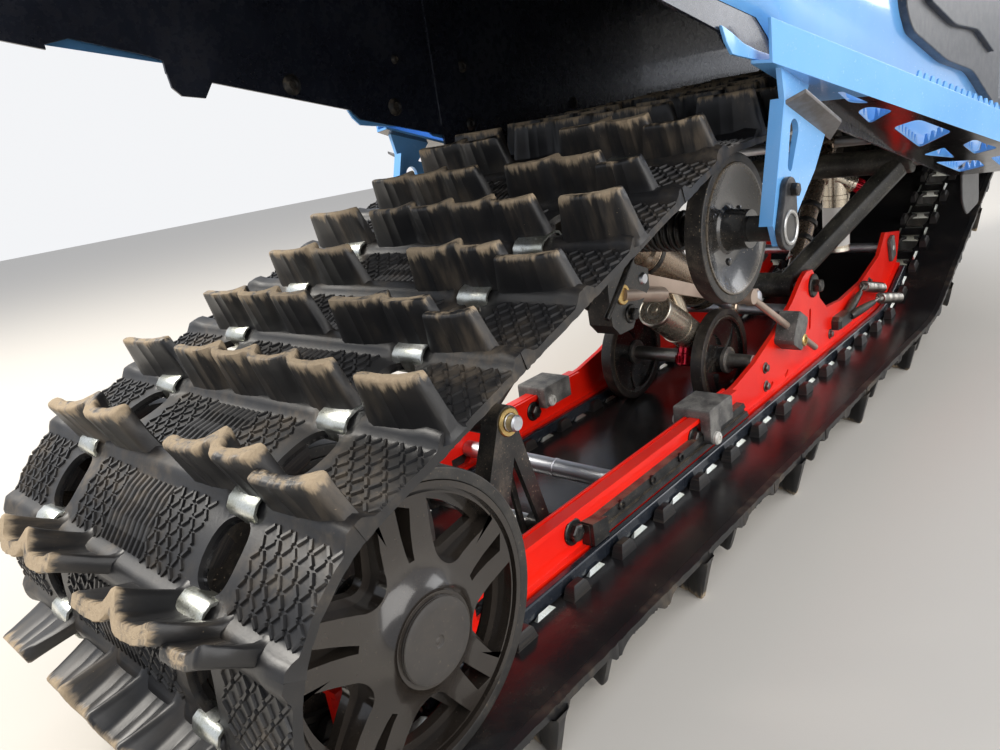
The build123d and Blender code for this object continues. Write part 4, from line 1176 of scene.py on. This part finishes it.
for start, end, shares, radius in ((front_eye, front_top, (0.25, 0.37, 0.49), 0.0156),
                                   (rear_eye, rear_foot, (0.235, 0.655), 0.0280)):
    way = end - start
    for share in shares:
        turned(points, faces, start + way * share, way,
               [(0.0, radius - 0.003), (0.0008, radius), (0.0052, radius + 0.0004), (0.0074, radius),
                (0.0082, radius - 0.003)], 48)
clamp_black = surface("clamp_black", (0.022, 0.022, 0.022), (0.010, 0.010, 0.010), 0.40, 0.25, scale=120.0)
piece("shock_clamps", points, faces, clamp_black, 30.0)
points, faces = [], []
for start, end in ((rear_canister_front, rear_canister_rear), (canister_top, canister_foot)):
    way = (end - start).normalized()
    turned(points, faces, end, way,
           [(-0.006, 0.0203), (-0.0006, 0.0206), (0.0006, 0.0200), (0.0010, 0.0186), (-0.0006, 0.0178),
            (-0.0010, 0.0150), (-0.0002, 0.0144), (0.0002, 0.0090), (-0.0006, 0.0084), (-0.0004, 0.0040),
            (0.0010, 0.0034), (0.0012, 0.0004)], 60)
canister_end = bare_metal("canister_end", (0.80, 0.76, 0.66), (0.66, 0.62, 0.52), 0.30, 20.0, 0.03)
piece("canister_lids", points, faces, canister_end, 26.0)
points, faces = [], []
way = (canister_foot - canister_top).normalized()
turned(points, faces, canister_top + way * 0.068, way,
       [(0.0, 0.0201), (0.0003, 0.0204), (0.0617, 0.0204), (0.0620, 0.0201)], 60)
plain_sleeve = surface("canister_white", (0.74, 0.73, 0.70), (0.68, 0.66, 0.62), 0.32, 0.04, coat=0.2,
                       scale=14.0, relief=0.02)
piece("canister_sleeve", points, faces, plain_sleeve, 30.0)
points, faces = [], []
knob_rib_count, knob_rib_circle = 14, 0.0103
for start, end, back in ((adjuster_start, adjuster_end, 0.0), (knob_low, knob_foot, 0.015)):
    way = (end - start).normalized()
    side = way.orthogonal().normalized()
    other = way.cross(side)
    for k in range(knob_rib_count):
        angle = 2 * pi * k / knob_rib_count
        spot = end - way * back + (side * cos(angle) + other * sin(angle)) * knob_rib_circle
        turned(points, faces, spot, way,
               [(0.0025, 0.0010), (0.0032, 0.0014), (0.0112, 0.0014), (0.0120, 0.0010)], 6)
piece("knob_ribs", points, faces, knob_red, 50.0)


# Springs: black spring wire wound on the upper shaft, with tails that press on the arm, and
# the scratchers' silvery coils with a loop at the tip, run back to blocks on the rails.
def swept(points, faces, path, radius, around=10):
    """Adds a round wire along a path."""
    base = len(points)
    side = None
    for i, spot in enumerate(path):
        ahead, behind = path[min(i + 1, len(path) - 1)], path[max(i - 1, 0)]
        way = (ahead - behind).normalized()
        side = way.orthogonal() if side is None else side - way * side.dot(way)
        side.normalize()
        other = way.cross(side)
        for k in range(around):
            angle = 2 * pi * k / around
            points.append(spot + (side * cos(angle) + other * sin(angle)) * radius)
    closed_tube(faces, base, around, len(path))


def wound(start, end, radius, turns, first_angle=0.0, steps=18):
    """Centreline of a coil between two points."""
    way = (end - start).normalized()
    side = way.orthogonal().normalized()
    other = way.cross(side)
    line = []
    for i in range(int(turns * steps) + 1):
        angle = first_angle + 2 * pi * i / steps
        line.append(start + (end - start) * (i / (turns * steps))
                    + (side * cos(angle) + other * sin(angle)) * radius)
    return line


coil_wire, coil_radius = 0.0030, 0.0160
points, faces = [], []
for side in (1, -1):
    line = wound(at(upper_x, side * 0.1030, upper_z), at(upper_x, side * 0.1505, upper_z), coil_radius, 7)
    tail = line[0]
    swept(points, faces, [tail + Vector((-0.060, 0.0, -0.055)), tail + Vector((-0.030, 0.0, -0.028))] + line,
          coil_wire, 12)
    turned(points, faces, at(upper_x, side * 0.1000, upper_z), (0, side, 0),
           [(0.0, 0.0128), (0.0540, 0.0128)], 40)
spring_black = surface("spring_black", (0.030, 0.029, 0.028), (0.012, 0.012, 0.012), 0.30, 0.20, metal=0.3,
                       scale=90.0)
piece("torsion_springs", points, faces, spring_black, 40.0)
scratcher_coils = [((0.985, 0.124, -0.030), (1.074, 0.124, -0.054)),
                   ((0.985, 0.147, -0.048), (1.084, 0.147, -0.072))]
points, faces, block_points, block_faces = [], [], [], []
for side in (1, -1):
    for k, ((xa, ya, za), (xb, yb, zb)) in enumerate(scratcher_coils):
        start, end = at(xa, side * ya, za), at(xb, side * yb, zb)
        line = wound(start, end, 0.0070, 15)
        way = (end - start).normalized()
        tip = [line[-1] + way * 0.004, line[-1] + way * 0.006 + Vector((0, 0, -0.006))]
        foot = at(0.905, side * (0.121 + 0.004 * k), -0.058)
        lead = [foot, foot + (start - foot) * 0.6, start + way * -0.006]
        swept(points, faces, lead + line + tip, 0.0018, 8)
        middle = foot + (start - foot) * 0.52
        reach = (start - foot).normalized()
        turned(block_points, block_faces, middle - reach * 0.036, reach,
               [(0.0, 0.0052), (0.003, 0.0068), (0.030, 0.0062), (0.055, 0.0044), (0.062, 0.0030)], 12)
    foot = at(0.895, side * 0.1145, -0.058)
    base = len(block_points)
    for y_step, grow in ((0.0, 1.0), (0.010, 1.0), (0.0135, 0.82)):
        for dx, dz in ((-0.026, -0.009), (0.026, -0.009), (0.026, 0.004), (0.018, 0.009), (-0.020, 0.009),
                       (-0.026, 0.004)):
            block_points.append(foot + Vector((dx * grow, side * y_step, dz * grow)))
    for ring in range(2):
        for k in range(6):
            a, b = base + ring * 6 + k, base + ring * 6 + (k + 1) % 6
            quad = (a, b, b + 6, a + 6)
            block_faces.append(quad[::-1] if side > 0 else quad)
    cap = tuple(range(base + 12, base + 18))
    block_faces.append(cap[::-1] if side > 0 else cap)
coil_silver = bare_metal("scratcher_wire", (0.52, 0.50, 0.46), (0.24, 0.23, 0.21), 0.30, 150.0, 0.4)
piece("scratcher_coils", points, faces, coil_silver, 40.0)
piece("scratcher_blocks", block_points, block_faces, strip_black, 30.0)

# Drive: a steel axle across the front of the tunnel with four moulded sprockets that push
# the track's rods. It is hidden behind the track and takes the usual finish.
formed("drive_shaft", shaft_steel, ["drive_axle"], width=0.0010)
formed("drive_wheels", dull_plastic, ["drive_sprockets"], width=0.0012)

# Tunnel: folded sheet with a dark glossy coat, open below. Walls with a stepped lower edge,
# a notch and a tab at the rear, a doubler strip and plugged holes, under a ribbed roof.
edge_x, edge_z, edge_slope = 0.260, 0.340, 0.2345
roof_z, roof_slope = 0.560, 0.10


def tunnel_edge(x):
    """Height of the walls' rear lower edge."""
    return edge_z - edge_slope * (x - edge_x)


def roof_top(x):
    return roof_z - roof_slope * x


tunnel_black = surface("tunnel_black", (0.026, 0.032, 0.050), (0.016, 0.019, 0.030), 0.27, 0.07, metal=0.25,
                       coat=0.3, scale=9.0, relief=0.12, settle=0.10)
shells, cuts = ([], []), ([], [])
for side in (1, -1):
    plate(*cuts, [(0.040, 0.380), (0.137, 0.355), (0.137, 0.3800), (0.124, 0.3845), (0.060, 0.4000),
                  (0.040, 0.3955)],
          side * 0.215, side * 0.226)
    tab = [(0.137, tunnel_edge(0.137) + 0.006), (0.139, tunnel_edge(0.139) - 0.012),
           (0.147, tunnel_edge(0.147) - 0.018), (0.170, tunnel_edge(0.170) - 0.016),
           (0.184, tunnel_edge(0.184) + 0.006)]
    plate(*shells, tab, side * 0.2190, side * 0.2216)
    plate(*shells, [(0.476, tunnel_edge(0.478) + 0.004), (0.522, tunnel_edge(0.522) - 0.030),
                    (0.522, roof_top(0.522) - 0.012), (0.476, roof_top(0.476) - 0.012)],
          side * 0.2174, side * 0.2192)
formed("tunnel_walls", tunnel_black, ["tunnel_side_left", "tunnel_side_right"], shells, cuts,
       0.0008)
shells = ([], [])
for low, high in ((0.050, 0.064), (0.128, 0.142), (-0.064, -0.050), (-0.142, -0.128)):
    run = [(-0.095, roof_top(-0.095)), (1.640, roof_top(1.640))]
    plate(*shells, [(x, z - 0.001) for x, z in run] + [(x, z + 0.0026) for x, z in run[::-1]], low, high)
plate(*shells, [(-0.119, roof_top(-0.119) - 0.014), (-0.112, roof_top(-0.112) - 0.014),
                (-0.112, roof_top(-0.112) - 0.001), (-0.119, roof_top(-0.119) - 0.001)], -0.214, 0.214)
roof_black = surface("roof_black", (0.026, 0.029, 0.040), (0.011, 0.012, 0.018), 0.30, 0.14, metal=0.2,
                     coat=0.25, scale=11.0, relief=0.15, settle=0.12)
formed("tunnel_top", roof_black, ["tunnel_roof"], shells, width=0.0012)
plug_black = surface("plug_black", (0.020, 0.019, 0.018), (0.008, 0.008, 0.008), 0.45, 0.45, scale=160.0)
points, faces = [], []
for side in (1, -1):
    for x, z, radius in ((0.269, 0.352, 0.0085), (0.405, 0.320, 0.0080), (0.528, 0.290, 0.0065),
                         (0.529, 0.360, 0.0060), (0.417, 0.372, 0.0040), (0.760, 0.300, 0.0070),
                         (0.980, 0.250, 0.0070)):
        turned(points, faces, at(x, side * 0.2190, z), (0, -side, 0),
               [(-0.0004, radius * 1.25), (0.0010, radius * 1.25), (0.0018, radius * 1.1),
                (0.0034, radius * 0.9), (0.0040, radius * 0.62), (0.0024, radius * 0.5), (0.0024, 0.0003)],
               28)
piece("tunnel_plugs", points, faces, plug_black, 34.0)

# Running boards: pressed sheet painted light blue, widening forward, with a raised outer
# edge. Large holes with toothed rims let the snow out. The underside is painted shade and
# painted reflection: dark shiny metal standing for the blue paint seen in shadow.
wall_face = 0.222
board_rear, board_level_from = 0.389, 1.050
rear_rim, rim_spread, spread_over = 0.240, 0.175, 0.747
board_z = 0.306
wall_lift, wall_lift_over = 0.021, 0.400
rim_lift, rim_lift_over = 0.019, 0.380


def board_rim(x):
    """Distance of the board's outer edge from the unit's middle."""
    return rear_rim + rim_spread * min(1.0, (x - board_rear) / spread_over)


def board_under(x, y):
    """Height of the board's underside, at a distance from the unit's middle."""
    share = (y - wall_face) / (board_rim(x) - wall_face)
    at_wall = wall_lift * max(0.0, 1 - (x - board_rear) / wall_lift_over)
    at_rim = rim_lift * max(0.0, 1 - (x - board_rear) / rim_lift_over)
    return board_z - edge_slope * (min(x, board_level_from) - edge_x) + at_wall + (at_rim - at_wall) * share


board_thick, strip_high = 0.003, 0.033
hole_round, toothed_from = 0.009, 0.030
board_stations = [board_rear, 0.430, 0.520, 0.769, 0.789, board_level_from, 1.136, 1.560]
# corners of each hole: x from the rear axle, distance from the unit's middle
board_holes = [[(0.497, 0.252), (0.497, 0.256), (0.547, 0.264), (0.537, 0.249)],
               [(0.574, 0.244), (0.557, 0.259), (0.582, 0.274), (0.626, 0.240)],
               [(0.654, 0.254), (0.628, 0.284), (0.698, 0.298), (0.764, 0.252)],
               [(0.819, 0.242), (0.777, 0.274), (0.868, 0.266)],
               [(0.891, 0.239), (0.904, 0.284), (0.969, 0.280), (1.016, 0.242)],
               [(0.770, 0.294), (0.745, 0.310), (0.814, 0.320), (0.848, 0.291)],
               [(0.890, 0.300), (0.870, 0.326), (0.960, 0.338), (0.985, 0.296)],
               [(1.050, 0.250), (1.020, 0.335), (1.120, 0.350), (1.150, 0.250)],
               [(1.190, 0.250), (1.165, 0.350), (1.275, 0.365), (1.300, 0.250)],
               [(1.340, 0.250), (1.320, 0.365), (1.430, 0.380), (1.450, 0.250)]]


def rounded_corners(corners, radius, steps=4):
    """Outline with its corners rounded off."""
    outline = []
    for k, (x, y) in enumerate(corners):
        before, after = corners[k - 1], corners[(k + 1) % len(corners)]
        back, on = hypot(before[0] - x, before[1] - y), hypot(after[0] - x, after[1] - y)
        cut = min(radius, back * 0.45, on * 0.45)
        start = (x + (before[0] - x) * cut / back, y + (before[1] - y) * cut / back)
        end = (x + (after[0] - x) * cut / on, y + (after[1] - y) * cut / on)
        for i in range(steps + 1):
            t = i / steps
            outline.append(tuple((1 - t) ** 2 * start[j] + 2 * t * (1 - t) * (x, y)[j] + t * t * end[j]
                                 for j in (0, 1)))
    return outline


def sheet(points, faces, side, outline, low, high):
    """Adds a form over a plan of (x, distance) corners, between two heights that vary over it."""
    block(points, faces, *([at(x, side * y, height(x, y)) for x, y in outline] for height in (low, high)))


def toothed(points, faces, side, start, end, foot, height, step, thick):
    """Row of pointed teeth along a line between two (x, distance) points."""
    run = hypot(end[0] - start[0], end[1] - start[1])
    count = max(1, int(run / step))
    nx, ny = -(end[1] - start[1]) / run * thick, (end[0] - start[0]) / run * thick
    for k in range(count):
        base = len(points)
        for off in (0, 1):
            for share, rise in ((k + 0.06, 0.0), (k + 0.94, 0.0), (k + 0.66, 1.0), (k + 0.36, 1.0)):
                x = start[0] + (end[0] - start[0]) * share / count + nx * off
                y = start[1] + (end[1] - start[1]) * share / count + ny * off
                points.append(at(x, side * y, foot(x, y) + height * rise - 0.001 * (1 - rise)))
        for corner in range(4):
            a, b = base + corner, base + (corner + 1) % 4
            faces.append((a, b, b + 4, a + 4))
        faces.append((base + 3, base + 2, base + 1, base))
        faces.append((base + 4, base + 5, base + 6, base + 7))


paint_blue = surface("board_blue", (0.175, 0.455, 0.860), (0.140, 0.395, 0.770), 0.24, 0.05, coat=0.45,
                     scale=8.0, relief=0.08)
# Dark shiny metal for the boards' underside: painted shade and painted reflection in place of the blue paint
# seen in shadow.
underside_painted_shade = surface("board_underside_painted_shade", (0.085, 0.075, 0.072), (0.050, 0.045, 0.046), 0.16, 0.10, metal=0.92,
                     scale=7.0, relief=0.06)
shells, cuts = ([], []), ([], [])
for side in (1, -1):
    base = len(shells[0])
    for x in board_stations:
        rim, near, far = board_rim(x), board_under(x, wall_face), board_under(x, board_rim(x))
        shells[0].extend(at(x, side * y, z) for y, z in (
            (wall_face, near), (rim, far), (rim, far + strip_high), (rim - board_thick, far + strip_high),
            (rim - board_thick, far + board_thick), (wall_face, near + board_thick)))
    closed_tube(shells[1], base, 6, len(board_stations))
    for hole in board_holes:
        sheet(*cuts, side, rounded_corners(hole, hole_round),
              lambda x, y: board_under(x, y) - 0.02, lambda x, y: board_under(x, y) + 0.02)
boards = formed("running_boards", paint_blue, shells=shells, cut=cuts, width=0.0012,
                replaces=["running_board_left", "running_board_right"])
boards.data.materials.append(underside_painted_shade)
# Underside faces take the painted shade where shadow falls: all of the left board's, and the right board's
# forward of 0.520 m.
for polygon in boards.data.polygons:
    if polygon.normal.z < -0.6 and (polygon.center.x - axle.x > 0.520 or polygon.center.y > 0):
        polygon.material_index = 1
points, faces = [], []
for side in (1, -1):
    for hole in board_holes:
        for k, corner in enumerate(hole):
            after = hole[(k + 1) % len(hole)]
            run = hypot(after[0] - corner[0], after[1] - corner[1])
            if run > toothed_from:
                trim = hole_round / run
                start = tuple(corner[j] + (after[j] - corner[j]) * trim for j in (0, 1))
                end = tuple(after[j] + (corner[j] - after[j]) * trim for j in (0, 1))
                toothed(points, faces, side, start, end, lambda x, y: board_under(x, y) + board_thick,
                        0.0085, 0.0125, 0.0016)
    edge = [(x, board_rim(x) - 0.0024) for x in (0.600, 1.136, 1.555)]
    for start, end in zip(edge, edge[1:]):
        toothed(points, faces, side, start, end, lambda x, y: board_under(x, board_rim(x)) + strip_high,
                0.0060, 0.0120, 0.0020)
piece("board_teeth", points, faces, paint_blue, 30.0)

# Drop brackets: a light-blue plate under each board that carries the upper shaft, slotted,
# with its rear edge folded in and a bare grey flap on top, and a black cam plate bolted on.
fold_x, fold_z, fold_slope = 0.410, 0.2670, 0.37
bracket_inner, bracket_outer, flap_rise = 0.235, 0.240, 0.45
cam_inner, cam_outer, shaft_end_y = 0.2402, 0.2458, 0.2440


def board_foot(x):
    """Height of the bracket's folded top edge."""
    return fold_z - fold_slope * (x - fold_x)


def flap_face(lift):
    """Height of a face of the flap, which rises outward from the fold."""
    return lambda x, y: board_foot(x) + lift + flap_rise * (y - bracket_outer)


shells, cuts, flaps = ([], []), ([], []), ([], [])
for side in (1, -1):
    plate(*shells, [(0.411, board_foot(0.411)), (0.517, board_foot(0.517)), (0.500, 0.232), (0.473, 0.203),
                    (0.432, 0.174), (0.414, 0.152), (0.386, 0.152), (0.378, 0.170)],
          side * bracket_inner, side * bracket_outer)
    plate(*shells, [(0.4100, board_foot(0.411) + 0.001), (0.3775, 0.170), (0.3825, 0.170),
                    (0.4155, board_foot(0.4155) + 0.001)],
          side * 0.228, side * 0.2398)
    sheet(*flaps, side, [(0.411, 0.2385), (0.516, 0.2385), (0.494, 0.2560), (0.413, 0.2560)],
          flap_face(-0.004), flap_face(-0.0006))
    plate(*shells, [(0.4100, 0.2660), (0.4045, 0.2935), (0.4700, 0.2800), (0.4420, 0.2545)],
          side * 0.2352, side * 0.2398)
    plate(*cuts, capsule(0.428, 0.241, 0.009, 0.417, 0.214, 0.005), side * 0.225, side * 0.245)
    plate(*cuts, capsule(0.3987, upper_z, 0.0113, 0.3993, upper_z, 0.0113), side * 0.225, side * 0.245)
formed("drop_brackets", paint_blue, shells=shells, cut=cuts, width=0.0012,
       replaces=["drop_bracket_left", "drop_bracket_right"])
flap_grey = bare_metal("flap_grey", (0.34, 0.34, 0.35), (0.20, 0.185, 0.17), 0.34, 26.0, 0.25)
formed("bracket_flaps", flap_grey, shells=flaps, width=0.0008)
cam_black = surface("cam_black", (0.055, 0.056, 0.060), (0.026, 0.027, 0.029), 0.34, 0.22, metal=0.35,
                    scale=70.0)
shells = ([], [])
for side in (1, -1):
    plate(*shells, capsule(upper_x, upper_z, 0.019, 0.404, 0.194, 0.012), side * cam_inner, side * cam_outer)
formed("cam_plates", cam_black, shells=shells, width=0.0013,
       replaces=["cam_plate_left", "cam_plate_right"])
points, faces = [], []
turned_pair(points, faces, upper_x, shaft_end_y, upper_z,
            [(0.0, 0.0148), (0.0026, 0.0148), (0.0034, 0.0142), (0.0034, 0.0124), (0.0026, 0.0116),
             (-0.001, 0.0114)], 48)
piece("shaft_rings", points, faces, shaft_steel, 32.0)
# Black discs inside the shaft rings: painted shade, standing for the dark of the hollow bore.
points, faces = [], []
turned_pair(points, faces, upper_x, shaft_end_y, upper_z,
            [(0.0010, 0.0115), (0.0012, 0.0080), (0.0002, 0.0070), (0.0002, 0.0004)])
piece("shaft_bore_painted_shade", points, faces, bolt_black, 32.0)
points, faces = [], []
for side in (1, -1):
    bolt(points, faces, at(0.406, side * cam_outer, 0.195), (0, side, 0), 0.0058, 0.0055, 0.0078)
piece("cam_bolts", points, faces, bolt_black, 30.0)

# Side panels: moulded light-blue plastic with soft creases over the tunnel's walls, their
# lower hem turned under, and dark grey mouldings clipped over their front.
panel_rear, panel_front, panel_swell = -0.060, 1.225, 0.013
panel_columns, panel_rows = 64, 20
low_x, low_z, low_slope = 0.350, 0.340, 0.18
low_over_board, low_blend_from, low_blend_over = 0.006, 0.400, 0.060


def panel_low(x):
    """Height of the panel's lower edge: over the wall's edge at the rear, then along the board."""
    rear, front = low_z - low_slope * (x - low_x), board_under(max(x, board_rear), wall_face) + low_over_board
    blend = min(1.0, max(0.0, (x - low_blend_from) / low_blend_over))
    return rear + (front - rear) * blend * blend * (3 - 2 * blend)


points, faces = [], []
for side in (1, -1):
    base = len(points)
    for i in range(panel_columns + 1):
        u = i / panel_columns
        x = panel_rear + (panel_front - panel_rear) * u
        low, high = panel_low(x), roof_top(x) - 0.045
        for j in range(panel_rows + 1):
            v = j / panel_rows
            edge = min(v, 1 - v, u * 6, (1 - u) * 6, 0.12) / 0.12
            belly = 0.42 + 0.58 * sin(pi * min(1.0, v * 1.05)) ** 0.7
            out = 0.0012 + panel_swell * belly * sin(edge * pi / 2) ** 0.6
            first, second = v - 0.30 - 0.25 * u, v - 0.78 + 0.22 * u
            out += 0.0030 / (1 + exp(-first / 0.012)) - 0.0034 / (1 + exp(-second / 0.010))
            points.append(at(x, side * (wall_face + max(0.0005, out if edge > 0 else 0.0)),
                             low + (high - low) * v))
    tall = panel_rows + 1
    for i in range(panel_columns):
        for j in range(panel_rows):
            a = base + i * tall + j
            quad = (a, a + 1, a + tall + 1, a + tall)
            faces.append(quad if side > 0 else quad[::-1])
panel_blue = surface("panel_blue", (0.165, 0.440, 0.840), (0.145, 0.400, 0.780), 0.22, 0.04, coat=0.5,
                     scale=6.0, relief=0.05)
piece("side_panels", points, faces, panel_blue, 40.0)
shells = ([], [])
for side in (1, -1):
    plate(*shells, [(0.336, 0.325), (0.343, 0.313), (0.352, 0.3045), (0.362, 0.3030), (0.395, 0.2990),
                    (0.431, 0.2955), (0.431, 0.3010), (0.398, 0.3060), (0.372, 0.3120), (0.352, 0.3200)],
          side * 0.2222, side * 0.2250)
formed("panel_hems", paint_blue, shells=shells, width=0.0007)
# columns: corners, round at each corner, inner and outer distance from the middle
guard_forms = [([(0.716, 0.343), (0.744, 0.314), (0.902, 0.278), (1.043, 0.261), (1.222, 0.197),
                 (1.222, 0.395), (1.060, 0.425), (0.880, 0.440), (0.740, 0.425)], 0.022, 0.2340, 0.2480),
               ([(0.780, 0.345), (0.905, 0.318), (1.030, 0.312), (1.150, 0.278), (1.165, 0.345),
                 (1.020, 0.385), (0.820, 0.400)], 0.018, 0.2460, 0.2550),
               ([(1.112, 0.128), (1.225, 0.128), (1.240, 0.052), (1.157, 0.045), (1.124, 0.070)],
                0.012, 0.2220, 0.2250)]
guard_grey = surface("guard_grey", (0.060, 0.062, 0.066), (0.036, 0.037, 0.040), 0.40, 0.12, scale=80.0,
                     relief=0.35)
shells = ([], [])
for side in (1, -1):
    for corners, round_off, inner, outer in guard_forms:
        plate(*shells, rounded_corners(corners, round_off), side * inner, side * outer)
formed("front_guards", guard_grey, shells=shells, width=0.0045, crease=40.0, segments=4)
